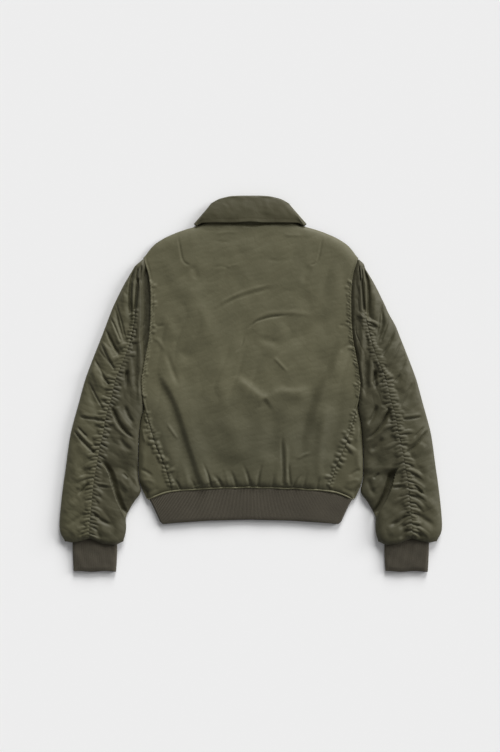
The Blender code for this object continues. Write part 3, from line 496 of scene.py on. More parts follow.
def cloth(name, x, y, z, material, node, up=True, keep=None, weld=False):
    """A sheet of quads from arrays of millimetres, without the quads where keep is False."""
    rows, columns = x.shape
    index = np.arange(rows * columns).reshape(rows, columns)
    quads = np.stack([index[:-1, :-1], index[1:, :-1], index[1:, 1:], index[:-1, 1:]], -1)
    a, b, c, d = quads[:, 0].T
    flat_x, flat_y = x.ravel(), y.ravel()
    turn = ((flat_x[c] - flat_x[a]) * (flat_y[d] - flat_y[b])
            - (flat_y[c] - flat_y[a]) * (flat_x[d] - flat_x[b])).sum()
    quads = quads[keep] if keep is not None else quads.reshape(-1, 4)
    if (turn < 0) == up:
        quads = quads[:, ::-1]
    points = np.stack([settled(x, y), y, z], -1).reshape(-1, 3)
    made = new_piece(name, points, quads.tolist(), material, node, weld=weld)
    area = sum(face.area for face in made.data.polygons)
    print(f"{name}: {len(quads)} quads, {z.min():.1f} to {z.max():.1f} mm high, {area:.4f} m2")
    return made


def spaced(start, end, step, edge=(0, 0.25, 0.9, 2.0, 3.4, 5.2, 7.4)):
    """Places from start to end about step apart, and closer together towards both ends."""
    edge = np.array(edge)
    middle = np.linspace(start + edge[-1], end - edge[-1], max(2, int((end - start) / step)))
    return np.concatenate([start + edge[:-1], middle, end - edge[-2::-1]])


print("columns in a sheet 400 mm wide:", len(spaced(-200, 200, 1.9)))

# %% [markdown]
# ## The back
# The back is one padded panel. Its armhole edges stand up over the sleeves, its lower sides
# are shirred to the fronts, and its waist is drawn in by the band, so that short pleats fan up from it.
# The pleats could come from the gathers' function too, but they are few and uneven, so each has a row of
# its own: where it stands, how far its head leans over, how long it is and how high.

# %% Creases of the back
BACK_CREASES = [
    (3.0, 24, [(-138, 222), (-114, 172), (-86, 118), (-60, 70)], 0.3, 0.3, 0.4),
    (2.0, 12, [(-176, 150), (-152, 100), (-130, 50)]),
    (-2.2, 11, [(-155, 102), (-136, 68), (-119, 36)], 0.3, 0.4),
    (-3.2, 10, [(-192, 32), (-186, 16), (-155, -44), (-135, -106), (-107, -192),
      (-103, -204)], 0.2, 0.02, 0.45),
    (3.0, 13, [(-179, 36), (-173, 19), (-142, -40), (-122, -102), (-94, -188),
      (-89, -203)], 0.2, 0.02, -0.45), (-1.7, 5, [(-168, 68), (-155, 30), (-140, -8)]),
    (-2.8, 15, [(176, 140), (120, 112), (82, 86), (58, 60)]),
    (-5.4, 14, [(178, 88), (154, 42), (129, -5), (112, -58), (101, -104), (98, -150)], 0.25, 0.3, 0.35),
    (4.0, 17, [(195, 80), (171, 34), (149, -13), (132, -62), (121, -112)], 0.25, 0.3, -0.4),
    (3.6, 12, [(-34, 16), (-4, -6), (16, -23), (31, -35)], 0.35, 0.1, 0.3),
    (3.6, 12, [(28, -36), (46, -24), (62, -16), (90, -19), (124, -10)], 0.1, 0.35, 0.3),
    (-1.7, 2.0, [(-3, 109), (7, 120), (18, 127), (43, 134), (80, 138)], 0.15, 0.35),
    (1.2, 5, [(-2, 118), (16, 133), (43, 141), (90, 142), (140, 134)], 0.2, 0.4),
    (-1.4, 2.0, [(-10, 97), (-16, 78), (-30, 61)]),
    (1.0, 3.5, [(-76, 148), (-44, 170), (0, 188), (54, 202)]),
    (-0.9, 3.5, [(-72, 142), (-40, 164), (6, 181), (58, 194)]), (1.2, 2.6, [(44, 56), (58, 42), (76, 22)]),
    (-1.7, 8, [(12, 93), (38, 86), (64, 77)], 0.4, 0.4),
    (-2.5, 2.8, [(63, -98), (64, -135), (66, -180), (64, -203)], 0.35, 0.05),
    (2.0, 4.0, [(71, -110), (72, -150), (72, -202)], 0.3, 0.05),
    (-2.2, 2.6, [(76, -152), (77, -180), (80, -203)], 0.4, 0.05),
    (2.2, 9, [(152, -34), (142, -92), (136, -146), (138, -198)], 0.3, 0.1),
    (-3.2, 15, [(180, -8), (172, -58), (164, -108), (162, -160)], 0.3, 0.2),
    (1.4, 3, [(90, -153), (104, -143), (122, -136)]), (1.4, 2.6, [(-167, -76), (-155, -94), (-141, -113)]),
    (2.1, 20, [(-60, 62), (-52, -20), (-44, -70)]),
    (3.6, 24, [(-42, -50), (-32, -104), (-22, -164)], 0.35, 0.25),
    (-3.4, 18, [(54, -40), (48, -100), (42, -160)], 0.35, 0.25),
    (-1.2, 7, [(-118, 240), (-108, 222), (-104, 205)]), (-1.2, 7, [(118, 240), (108, 220), (104, 200)]),
    (-1.2, 3.0, [(-196, 122), (-182, 116), (-168, 118)]), (1.2, 3.5, [(-197, 96), (-180, 84), (-170, 66)]),
    (-1.4, 3.0, [(196, 128), (184, 118), (172, 117)]), (-1.5, 3.5, [(202, 84), (186, 74), (176, 60)]),
    (-0.5, 2.2, [(-104, 311), (-82, 307), (-58, 308)]), (0.9, 3.0, [(-72, 300), (-44, 303), (-18, 303)]),
    (-0.5, 2.2, [(-74, 287), (-52, 284), (-33, 284)]), (0.5, 2.5, [(-48, 231), (-34, 237), (-20, 238)]),
    (-0.5, 2.5, [(-76, 232), (-56, 235), (-36, 229)]), (0.8, 3.0, [(62, 300), (84, 297), (106, 299)]),
    (-0.4, 3.5, [(30, 250), (56, 246), (84, 251)]),
    (1.2, 14, [(178, 250), (170, 210), (172, 160)], 0.4, 0.4),
    (-0.6, 10, [(150, 240), (146, 200), (150, 160)], 0.4, 0.4),
]
DART = [(144, 297), (140, 280), (137, 262), (133, 247), (126, 240), (117, 237)]
print("creases on the back:", len(BACK_CREASES))

# %% Pleats at the waist
WAIST_PLEATS = Table("x lean long rise", [
    (-178, -8, 22, 1.1), (-166, -12, 26, -1.2), (-150, -16, 30, 1.0), (-137, -14, 26, -1.5),
    (-120, -14, 34, 1.2), (-108, -10, 20, -1.0), (-86, -12, 30, 1.2), (-76, -16, 32, -1.6),
    (-64, -12, 26, 1.1), (-53, -20, 36, -1.7), (-40, -12, 30, 1.2), (-26, -14, 26, -1.3), (-13, -8, 20, 0.9),
    (2, -14, 34, -1.5), (9, 0, 24, 1.0), (15, 9, 32, -1.6), (30, 6, 24, 1.0), (44, 4, 26, -1.0),
    (54, 2, 30, 0.9), (90, 14, 28, 1.3), (83, 20, 34, -1.7), (104, 10, 24, -1.0), (118, 10, 28, 1.0),
    (130, 8, 30, -1.2), (144, 10, 26, 0.9), (160, 12, 24, -1.1), (172, 10, 20, 0.9)])


def waist_pleats(x, y):
    total = np.zeros_like(x)
    for at_x, lean, long, rise in WAIST_PLEATS.rows:
        foot = float(WAIST_LINE.at("y", abs(at_x)))
        long *= 1.3 + 0.5 * math.sin(at_x / 7)
        path = [(at_x + 1.3 * lean, foot + long), (at_x + 0.5 * lean, foot + 0.5 * long),
                (at_x, foot - 3)]
        strong, wide = (1.1, 4.6) if rise > 0 else (2.1, 2.8)
        total += crease(x, y, strong * rise, wide + 0.8 * math.sin(at_x / 5), path, 0.85, 0.0)
    return total


print("pleats at the waist:", len(WAIST_PLEATS.rows))

# %% Seams of the back


def down_the_side(side, inside, start, end, count):
    """Points inside the back's edge, from one height to another."""
    edge = [(float(BODY.at("side", y, SOFT, "y")), y) for y in np.linspace(start, end, count)]
    return [(side * (x - inside), y) for x, y in edge]


def side_gathers(x, y, side):
    """The shirring of a side seam: fine at both ends and drawn up in larger tucks at its middle."""
    def seam(start, end):
        return down_the_side(side, 0, start, end, 12)
    return np.maximum.reduce([
        gathers(x, y, seam(-54, -106), 6.6, 10, 2.4, 31 + side),
        gathers(x, y, seam(-104, -166), 10.0, 15, 3.6, 33 + side, 0.3 * side),
        gathers(x, y, seam(-164, -208), 7.4, 11, 2.6, 35 + side, 0.2 * side)])


def armhole(side, inside, start, end):
    return down_the_side(side, inside, start, end, 14)


print("the armhole's stitches begin", round(armhole(1, 5, 238, -46)[0][0]), "mm from the centre")

# %% Height of the back
# Heights of the wadded middle, and of the edges at side seam, armhole, waist, shoulder and collar.
LOFT, SEAM_TOP, ARMHOLE_TOP = 16.2, 11.6, 13.6
WAIST_EDGE, SHOULDER_EDGE, UNDER_COLLAR = 8.4, 6.4, 9.6


def back_height(x, y):
    """Height of the back over the table, in millimetres."""
    across = abs(x)
    inside = BODY.at("side", y, SOFT, "y") - across
    shoulder = SHOULDER.at("back", across, 6)
    slope = (SHOULDER.at("back", across + 3, 6) - shoulder) / 3
    from_top = (shoulder - y) / np.hypot(1, slope)
    from_waist = y - WAIST_LINE.at("y", across, SOFT)
    loft = LOFT + 0.6 * undulation(x, y, 110, 3) + 0.28 * undulation(x, y, 34, 4)
    loft += 0.9 * ease(40, -150, y) - 1.5 * ease(40, 190, across)
    relief = add_creases(x, y, BACK_CREASES) + waist_pleats(x, y)
    relief += 0.6 * billows(x, y, 30, 64, 17) + 0.13 * billows(x, y, 11, 20, 18)
    for side in (-1, 1):
        relief += crease(x, y, -1.3, 1.6, [(side * a, b) for a, b in DART], 0.3, 0.1)
        relief += side_gathers(x, y, side)
        relief += gathers(x, y, armhole(side, 3.5, 206, -30), 6.5, 7.0, 2.3, 51 + side)
    seam = towards(SEAM_TOP, loft, ease(-6, 24, inside))
    # The armhole's edge is turned under and stitched down, which leaves a lip and a groove.
    edge = towards(ARMHOLE_TOP, loft, ease(0, 48, inside))
    edge -= (1.6 + 2.4 * ease(30, 80, y)) * (1 - rolled(inside, 2.4))
    edge += 0.7 * np.exp(-((inside - 2.2) / 1.6) ** 2) - 0.9 * np.exp(-((inside - 5.0) / 1.3) ** 2)
    height = towards(seam, edge, ease(-66, -40, y))
    height += relief * ease(-6, 3, inside) * ease(0, 14, from_top)
    height = towards(WAIST_EDGE, height, rolled(from_waist + 0.5, 17))
    height = towards(SHOULDER_EDGE, height, rolled(from_top, 24))
    # Beside the collar's free edge the back drops away under it, most of all at the middle.
    drop_y = 319.6 - 3.6 * np.exp(-((x - 3) / 20) ** 2)
    under_fall = 0.35 * ease(262, 312, y) + 0.65 * ease(drop_y - 3.5, drop_y + 3.0, y)
    return height + under_fall * ease(118, 96, across) * (UNDER_COLLAR - height) * (height > UNDER_COLLAR)


chest = back_height(np.array([0.0]), np.array([100.0]))
print("between the shoulder blades the back is", round(float(chest[0]), 1), "mm high")

# %% Levels of the body


def body_y(u, x, half, line):
    """Height up the jacket of level u at x, where the piece is half wide."""
    shoulder = SHOULDER.at(line, HEAD_HALF * abs(x) / half, 6 if line == "back" else 2)
    y = BODY.at("y", u) + BODY.at("bend", u) * (shoulder - HEAD_Y)
    last = BODY.at("y", ABOVE_WAIST) + BODY.at("bend", ABOVE_WAIST) * (shoulder - HEAD_Y)
    waist = WAIST_LINE.at("y" if line == "back" else "under", abs(x), SOFT)
    return np.where(u <= ABOVE_WAIST, y, last + (u - ABOVE_WAIST) * (waist - last))


def body_levels(step):
    """A column of levels whose heights on the centre line are about step apart."""
    fine = np.linspace(0, WAIST, 1500)
    middle = body_y(fine, np.zeros_like(fine), HEAD_HALF, "back")
    neck, waist = SHOULDER["back"][0], WAIST_LINE["y"][0]
    return np.interp(spaced(-neck, -waist, step, (0, 0.5, 1.3, 2.6)), -middle, fine)[:, None]


print("levels of the body:", len(body_levels(1.9)))

# %% Back cloth
LIP_IN, LIP_DOWN = 1.2, 1.6  # the armhole's edge has a lip that is turned under
u = body_levels(1.9)
half = BODY.at("side", u, 0.3)
x = half * (spaced(-200, 200, 1.9)[None, :] / 200)
y = body_y(u, x, half, "back")
z = back_height(x, y)
lip = np.where(u < UNDERARM - 0.4, 1.0, 0.0)
x = np.hstack([x[:, :1] + LIP_IN * lip, x, x[:, -1:] - LIP_IN * lip])
y = np.hstack([y[:, :1], y, y[:, -1:]])
z = np.hstack([z[:, :1] - LIP_DOWN * lip, z, z[:, -1:] - LIP_DOWN * lip])
back = cloth("back_cloth", x, y, z, NYLON, "back_panel", weld=True)

# %% [markdown]
# ## The fronts
# Each front lies flat underneath, turns up round the side, and comes over the back as a narrow strip to
# the shirred side seam. Near the neck it lies over the collar's leaf, so it is lifted a little there. It
# could be an upper and a lower sheet, but one grid that goes round the side leaves no gap at the fold.

# %% The strip that shows on top
STRIP_CREASES = [
    (1.3, 3.0, [(216, -84), (212, -104), (207, -120)]),
    (-1.8, 3.5, [(219, -170), (206, -176), (192, -186)]),
    (1.3, 4.0, [(220, -196), (204, -192), (186, -200)]),
    (-1.4, 4.0, [(178, -206), (196, -214), (210, -218)], 0.3, 0.2),
    (1.1, 5.0, [(214, -130), (212, -152), (216, -176)]),
]
FOLD_EDGE, STRIP_LOFT, STRIP_SEAM, STRIP_WAIST = 5.4, 8.0, 11.4, 7.6


def strip_height(x, y, side):
    """Height of the front's strip on top, at distance x from the centre line."""
    from_fold = BODY.at("fold", y, 6, "y") - x
    from_seam = x - BODY.at("side", y, SOFT, "y")
    from_waist = y - WAIST_LINE.at("y", x, SOFT)
    loft = FOLD_EDGE + STRIP_LOFT * rolled(from_fold, 16)
    height = towards(STRIP_SEAM, loft, np.maximum(ease(-4, 16, from_seam), ease(12, 0, from_fold)))
    relief = add_creases(x, y, STRIP_CREASES) + 0.3 * undulation(x, y, 30, 9)
    relief += side_gathers(side * x, y, side)
    height += relief * ease(0, 7, from_fold)
    return towards(STRIP_WAIST, height, np.where(height > STRIP_WAIST, rolled(from_waist + 0.5, 15), 1))


print("creases on each strip:", len(STRIP_CREASES))

# %% Front cloths
ZIP_EDGE = 8.0
FLAT_RADIUS, FLAT_EDGE = 2.0, 2.4  # of a front's edge beside the armhole, where it doesn't come round
UNDER, ROUND, TOP = 48, 8, 36  # columns underneath, round the fold and on top


def make_front(side, word):
    u = body_levels(1.9)
    fold, seam = BODY.at("fold", u, 0.3), BODY.at("side", u, 0.3)
    flat = u < UNDERARM - 1.05
    radius = np.where(flat, FLAT_RADIUS, np.clip(3.0 + 3.0 * (u - UNDERARM + 0.1), 3.0, FOLD_EDGE))
    edge = np.where(flat, fold, fold - radius)
    under_x = np.maximum(ZIP_EDGE + (edge - ZIP_EDGE) * np.linspace(0, 1, UNDER)[None, :], ZIP_EDGE)
    under_y = body_y(u, under_x * HEAD_HALF / fold, HEAD_HALF, "front")
    lifted = 2.9 * ease(5.4, 4.0, u) * ease(150, 127, under_x)
    angle = np.radians(np.linspace(-80, 0, ROUND))[None, :]
    turn_x = np.where(flat, fold - FLAT_RADIUS, fold - radius + radius * np.cos(angle))
    turn_y = under_y[:, -1:] + 0 * angle
    turn_z = np.where(flat, FLAT_EDGE, FOLD_EDGE) * (1 + np.sin(angle))
    part = np.linspace(0, 1, TOP)[None, :] ** 1.35
    top_x = fold - (fold - seam) * np.maximum(part, 0.002)
    last = float(BODY.at("y", ABOVE_WAIST))
    top_y = np.where(u <= ABOVE_WAIST, BODY.at("y", u),
                     last + (u - ABOVE_WAIST) * (WAIST_LINE.at("y", top_x, SOFT) - last))
    blend = ease(0, 0.12, part)
    top_y = turn_y[:, -1:] * (1 - blend) + top_y * blend
    x = np.hstack([under_x, turn_x, top_x])
    y = np.hstack([under_y, turn_y, top_y])
    z = np.hstack([lifted, turn_z, strip_height(top_x, top_y, side)])
    keep = np.ones((x.shape[0] - 1, x.shape[1] - 1), bool)
    keep[flat[:-1, 0], UNDER + ROUND - 1:] = False
    return cloth(f"front_cloth_{word}", side * x, y, z, SLEEVE_SHADE_NYLON, f"front_{word}",
                 up=False, keep=keep)


front_left = make_front(-1, "left")
front_right = make_front(1, "right")

# %% [markdown]
# ## The sleeves
# A sleeve is two panels joined by a shirred seam that shows all the way down. A running thread
# draws that seam up, so it ripples like a ladder, and the spare cloth stands off it in long folds. At the
# elbow the forearm's cloth lies over the inner panel, and at the end it blouses over the cuff.
# Both panels take their height from one function, so they meet exactly at the seam. Both sleeves share one
# set of creases, which saves drawing them twice, and differ in their loft and their gathers.

# %% Creases of the sleeves
SLEEVE_CREASES = [
    (-7.4, 3.4, [(228.5, 240), (235, 212), (238.5, 172), (236, 118)], 0.05, 0.35),
    (-5.9, 2.6, [(221, 214), (226, 172), (231, 132)], 0.1, 0.3),
    (-2.4, 2.0, [(281, 140), (268, 112), (256, 82)], 0.3, 0.15),
    (-2.2, 1.9, [(270, 172), (258, 132), (248, 92)], 0.3, 0.15),
    (-2.6, 2.2, [(301, 90), (284, 54), (268, 26)], 0.3, 0.15),
    (-2.4, 2.0, [(322, 6), (306, -26), (292, -50)], 0.3, 0.15),
    (-1.8, 1.9, [(292, 118), (277, 88), (262, 58)], 0.3, 0.2),
    (-1.8, 1.9, [(312, 56), (296, 24), (280, -2)], 0.3, 0.2),
    (3.0, 3.2, [(232.5, 215), (233, 180), (233.5, 140)], 0.2, 0.3),
    (2.0, 6.0, [(250, 196), (251, 165), (246, 130), (241, 108)], 0.2, 0.4),
    (-2.4, 10.0, [(242, 176), (240, 122), (237, 66)]),
    (-3.5, 1.8, [(215, 238), (218, 214), (216, 190)], 0.2, 0.4),
    (-3.2, 1.8, [(222, 234), (225, 214), (222, 196)], 0.2, 0.4),
    (2.2, 2.2, [(219, 234), (221.5, 212), (219.5, 190)], 0.2, 0.4),
    (3.8, 4.8, [(215, 236), (219.5, 200), (222, 150), (221, 100), (218.5, 56), (217.5, 20),
      (217, -14)], 0.2, 0.25), (-3.2, 3.0, [(266, 156), (264, 132), (257, 104), (249, 80)]),
    (2.4, 5.0, [(276, 146), (271, 116), (262, 90), (253, 72)]),
    (-3.2, 3.0, [(286, 106), (275, 82), (263, 62), (258, 48)]),
    (2.3, 6.0, [(296, 96), (284, 66), (272, 42), (268, 24)]),
    (-2.6, 2.2, [(298, 22), (290, 10), (283, 2), (276, -6)]), (1.9, 4.0, [(305, 20), (297, 2), (286, -14)]),
    (-2.2, 6.0, [(328, 22), (320, -8), (312, -32), (300, -46)], 0.4, 0.3),
    (-2.0, 7.0, [(306, 70), (300, 40), (290, 18)], 0.4, 0.4),
    (2.2, 7.0, [(318, 44), (308, 14), (296, -18)], 0.4, 0.3),
    (-5.1, 3.6, [(246, 30), (245.5, 10), (247, -12)], 0.25, 0.45),
    (2.4, 4.5, [(238, 60), (237, 24), (236, -20)], 0.3, 0.4),
    (-2.2, 5.0, [(229, 50), (228, 10), (226, -30)], 0.3, 0.4),
    (-4.6, 3.2, [(276, -47), (268, -64), (259, -81), (244, -99), (225, -113)], 0.05, 0.3),
    (3.0, 5.5, [(266, -44), (258, -62), (246, -80), (230, -94)], 0.1, 0.3),
    (2.6, 4.0, [(276, -68), (266, -86), (254, -98), (240, -108)], 0.2, 0.4),
    (-3.6, 4.0, [(250, -40), (243, -62), (230, -82)]), (-3.2, 5.0, [(262, -104), (250, -122), (234, -136)]),
    (-2.2, 2.4, [(342, -65), (322, -69), (300, -71)], 0.3, 0.1),
    (1.5, 3.4, [(340, -59), (322, -63), (300, -65)], 0.3, 0.1),
    (-3.6, 2.6, [(354, -90), (342, -104), (330, -118), (317, -131), (305, -139)], 0.25, 0.1),
    (2.0, 3.0, [(348, -88), (337, -101), (324, -114), (308, -126)], 0.3, 0.2),
    (-2.4, 2.0, [(345, -84), (333, -97), (322, -108)]), (1.9, 8.0, [(344, -116), (334, -130), (318, -146)]),
    (-4.2, 2.6, [(344, -224), (335, -213), (328, -205), (317, -200)], 0.4, 0.3),
    (2.2, 4.0, [(346, -212), (336, -202), (324, -194)]),
    (-1.6, 2.2, [(308, -203), (292, -206), (275, -208)], 0.1, 0.4),
    (1.5, 2.6, [(308, -197), (292, -200), (274, -203)], 0.1, 0.4),
    (-2.7, 5.5, [(319, -254), (334, -263), (350, -274), (368, -286)], 0.1, 0.35),
    (2.3, 9.0, [(376, -258), (358, -242), (344, -228)], 0.3, 0.4),
    (-3.2, 3.6, [(314, -256), (299, -271), (286, -278), (270, -284)], 0.05, 0.35),
    (2.2, 8.0, [(304, -288), (286, -296), (268, -300)], 0.3, 0.4),
    (2.2, 9.0, [(334, -284), (348, -294), (360, -302)], 0.3, 0.4),
    (-2.2, 4.0, [(312, -284), (303, -298), (296, -312)], 0.1, 0.3),
    (-2.2, 4.0, [(326, -282), (333, -296), (338, -310)], 0.1, 0.3),
    (-2.0, 2.2, [(255, -177), (248, -184), (242, -190)]),
    (1.4, 4.0, [(262, -186), (252, -200), (240, -214)]),
    (-1.5, 5.0, [(232, -186), (236, -206), (246, -226)]),
    (1.6, 8.0, [(352, -150), (348, -176), (346, -200)]),
    (-1.4, 7.0, [(336, -160), (330, -180), (322, -190)]),
]
print("creases on each sleeve:", len(SLEEVE_CREASES))

# %% The shirred seam and the elbow


def shirring(x, y, side):
    """The rungs of the shirred seam and the folds that they send out."""
    def seam(start, end):
        return [(float(SLEEVE.at("seam", at, SOFT)), at) for at in np.linspace(start, end, 14)]
    return np.maximum.reduce([
        gathers(x, y, seam(146, 22), 6.8, 17, 3.9, 71 + side, 0.5, 0.5, (1,)),
        gathers(x, y, seam(146, 22), 6.8, 13, 3.9, 71 + side, -0.45, 0, (-1,)),
        gathers(x, y, seam(22, -122), 7.0, 19, 4.2, 81 + side, 0.12, 0.4),
        gathers(x, y, seam(-122, -310), 7.2, 22, 4.2, 91 + side, 0.22, 0.9)])


def elbow_line(y, side):
    """Distance from the centre line to the forearm's edge, which lies a little further out on the right."""
    return ELBOW.at("x", y, 5) + (5 * ease(-262, -205, y) if side > 0 else 0)


def tuck(x, y, side):
    """How far the inner panel is drawn under the forearm's edge, which hides that edge's side."""
    elbow = elbow_line(y, side)
    hollow = ease(-150, -180, y) * ease(-266, -246, y)
    return 3.2 * hollow * ease(elbow + 0.3, elbow - 1.0, x) * ease(elbow - 12, elbow - 1, x)


def sleeve_puffs(x, y, side, seam, outside, inside):
    """The loft between the folds: close puffs on the upper arm and broad ones below."""
    puffs = 0.7 * billows(x, y, 18, 62, 21 + side) * ease(235, 200, y) * ease(-40, 40, y) * outside
    puffs += 0.8 * billows(x, y, 13, 100, 24 + side) * ease(-60, 20, y) * inside
    puffs += 0.8 * billows(x, y, 32, 28, 27 + side) * ease(20, -60, y) * outside
    puffs += 0.8 * billows(x, y, 26, 50, 29 + side) * ease(-20, -80, y) * inside
    puffs += 0.15 * billows(x, y, 9, 30, 23 + side)
    return puffs * (1 - 0.75 * np.exp(-((x - seam) / 12) ** 2))


print("forearm's edge on the left and right:", [round(float(elbow_line(-200.0, side))) for side in (-1, 1)])

# %% Height of a sleeve
# Heights of the padding above the outer fold, of that fold, of the end above the cuff, and the limits.
SLEEVE_LOFT, SLEEVE_EDGE, SLEEVE_HEM, SLEEVE_FLOOR, SLEEVE_CEILING = 10.6, 7.4, 8.6, 3.0, 20


def sleeve_lines(y):
    return (SLEEVE.at(name, y, 1 + 7 * ease(236, 200, y)) for name in ("outer", "seam", "inner"))


def sleeve_height(x, y, side):
    """Height of a sleeve's upper layer, at distance x from the centre line."""
    left = side < 0
    outer, seam, inner = sleeve_lines(y)
    from_outer, from_inner = outer - x, x - inner
    from_end = y - SLEEVE_END.at("y", x, 4)
    upper = ease(-50, -14, y)
    recess = ease(40, 100, y) * ease(242, 205, y) * left
    beside = (1 - upper) * rolled(from_inner + 0.3, 22)
    beside += upper * ease(-6 + 15 * recess, 6 + 13 * recess, from_inner)
    loft = SLEEVE_LOFT + 0.8 * undulation(x, y, 70, 11 + side) + 0.3 * undulation(x, y, 24, 14 + side)
    height = SLEEVE_EDGE + loft * rolled(from_outer, 14 + 18 * ease(230, 170, y)) * beside
    # The hollow in the crook of the elbow, under the forearm's edge.
    elbow = elbow_line(y, side)
    hollow = ease(-156 - 10 * side, -180 - 4 * side, y) * ease(-270, -250, y)
    wide = 3.5 if left else 6.0
    sunk = 1 - 0.5 * ease(elbow - wide, elbow - wide - 9, x) - 0.2 * ease(elbow - 12, elbow - 40, x)
    height -= (13.0 if left else 15.5) * hollow * ease(elbow + 0.2, elbow - 1.2, x) * sunk
    height -= 5.2 * np.exp(-((x - 247) / 22) ** 2 - ((y + 160) / 25) ** 2)
    outside, inside = ease(seam - 4, seam + 16, x), ease(seam - 4, seam - 16, x)
    deeper = 1.0 if left else 1.0 + 0.45 * inside
    relief = (add_creases(x, y, SLEEVE_CREASES) * deeper + shirring(x, y, side)
              + sleeve_puffs(x, y, side, seam, outside, inside))
    relief -= 0.35 * np.exp(-((x - seam) / 1.3) ** 2) * ease(140, 125, y)
    inward = np.where(upper > 0.5, 1.0, ease(0, 9, from_inner))
    height += relief * ease(0.5, 8, from_outer) * inward
    height = np.clip(height, SLEEVE_FLOOR, SLEEVE_CEILING + 0.5 * np.maximum(height - SLEEVE_CEILING, 0))
    return towards(SLEEVE_HEM, height, np.where(height > SLEEVE_HEM, rolled(from_end + 0.3, 13), 1))


arm = sleeve_height(np.array([260.0]), np.array([100.0]), -1)
print("the upper arm is", round(float(arm[0]), 1), "mm high")

# %% The ends of a sleeve
END_FROM, END, END_UNDER = -300, -317, -315  # the last rows bend to the sleeve's uneven end
END_SIDES = (253, 368)  # the ends of that line
DOWN = np.radians(np.linspace(-10, -90, ROUND))[None, :]  # turns of the fold between top and underside


def sleeve_y(rows, end):
    """Rows down a sleeve, the last of them stretched or drawn in to reach the height of its end."""
    return np.where(rows >= END_FROM, rows,
                    END_FROM + (rows - END_FROM) / (END - END_FROM) * (end - END_FROM))


def sleeve_panel(side, rows, top_x, turn_x, under_x):
    """A panel's x, y and z from its places on top, round the fold and underneath."""
    top_y = sleeve_y(rows, SLEEVE_END.at("y", top_x, 3))
    top_z = sleeve_height(top_x, top_y, side)
    x = np.hstack([top_x + tuck(top_x, top_y, side), turn_x, under_x])
    low = np.hstack([0 * top_x, 0 * turn_x + ease(0, 1, np.linspace(0, 1, ROUND)), 0 * under_x + 1])
    end_y = sleeve_y(rows, SLEEVE_END.at("y", np.clip(x, *END_SIDES), 3))
    y = end_y * (1 - low) + sleeve_y(rows, END_UNDER) * low
    return x, y, np.hstack([top_z, top_z[:, -1:] * (1 + np.sin(DOWN)), 0 * under_x])


further = SLEEVE_END.at("y", 320) - SLEEVE_END.at("y", 268)
print("a sleeve's end hangs", float(further), "mm lower on its inner side than at its seam")

# %% Sleeve cloths
SLEEVE_HEAD = 249
ARM_TOP, ARM_UNDER = -40, -50  # where the inner panel comes out from under the back
OUTER_TOP, INNER_TOP = 58, 52  # columns on top
OUTER_UNDER, INNER_UNDER = 18, 14


def make_sleeve(side, word):
    rows = spaced(-SLEEVE_HEAD, -END, 1.25, (0, 0.5, 1.4, 2.8))[:, None] * -1.0
    outer, seam, inner = sleeve_lines(rows)
    inner = inner + 0.35
    under_seam = inner + 0.32 * (outer - inner)

    wide = np.minimum(8.0, (outer - seam) * 0.5)
    start = outer - wide
    top_x = seam + (outer - seam) * (1 - (1 - np.linspace(0, 1, OUTER_TOP)[None, :]) ** 1.4)
    under_x = start + (under_seam + 0.15 - start) * np.linspace(0.03, 1, OUTER_UNDER)[None, :]
    x, y, z = sleeve_panel(side, rows, top_x, start + wide * np.cos(DOWN), under_x)
    outer_cloth = cloth(f"sleeve_outer_cloth_{word}", side * x, y, z,
                        SLEEVE_SHADE_NYLON if side < 0 else DARKER_NYLON, f"sleeve_outer_{word}")

    tucked = np.where(rows > ARM_TOP, 4.0, 0.0)
    wide = np.minimum(6.5, (seam - inner) * 0.4)
    start = inner + np.where(rows > ARM_UNDER, 0.0, wide)
    top_x = seam - (seam - inner + tucked) * (1 - (1 - np.linspace(0, 1, INNER_TOP)[None, :]) ** 1.3)
    under_x = start + (under_seam - 0.15 - start) * np.linspace(0.03, 1, INNER_UNDER)[None, :]
    x, y, z = sleeve_panel(side, rows, top_x, inner + wide - wide * np.cos(DOWN), under_x)
    keep = np.ones((x.shape[0] - 1, x.shape[1] - 1), bool)
    keep[rows[:-1, 0] > ARM_UNDER, INNER_TOP - 1:INNER_TOP + ROUND] = False
    inner_cloth = cloth(f"sleeve_inner_cloth_{word}", side * x, y, z, INNER_SHADE_NYLON, f"sleeve_inner_{word}",
                        keep=keep)
    return outer_cloth, inner_cloth


sleeves = {word: make_sleeve(side, word) for side, word in ((-1, "left"), (1, "right"))}

# %% [markdown]
# ## Cuffs and waistband
# Both are a doubled band of rib: knit columns that stand up from the fabric, about 2.3 mm apart on the
# cuffs and 3 mm on the waist. A bump could draw the ribs, but real ridges also show in the band's outline.
# The open end turns back inside, so that the band shows its doubled edge.

# %% Rows of a band
RIB_RISE = 0.42
EDGE_BEND = 1.4  # radius of the doubled edge
CUFF_HALF, BAND_HALF = 3.9, 4.1  # half the thickness of the flattened bands
CUFF_TOP, CUFF_END = -306, -375.6
TURN = np.radians(np.linspace(90, -90, 13))[None, 1:-1]


def band_rows(start, end, step):
    """Rows down a band and round its end into the inside: how far along, and how deep."""
    down = np.linspace(start, end + EDGE_BEND, int(abs(start - end) / step))
    bend = np.radians(np.linspace(20, 180, 7))
    y = np.concatenate([down, end + EDGE_BEND - EDGE_BEND * np.sin(bend), [end + 6, end + 14]])
    depth = np.concatenate([down * 0, EDGE_BEND * (1 - np.cos(bend)), [2 * EDGE_BEND] * 2])
    return y[:, None], depth[:, None]


def ribbed(depth, across_mm, pitch):
    """The ridges of the knit, which stop at the band's edge."""
    return np.where(depth < EDGE_BEND, RIB_RISE * np.cos(2 * math.pi * across_mm / pitch), 0.0)


print("rows of a cuff:", len(band_rows(CUFF_TOP, CUFF_END, 1.6)[0]))

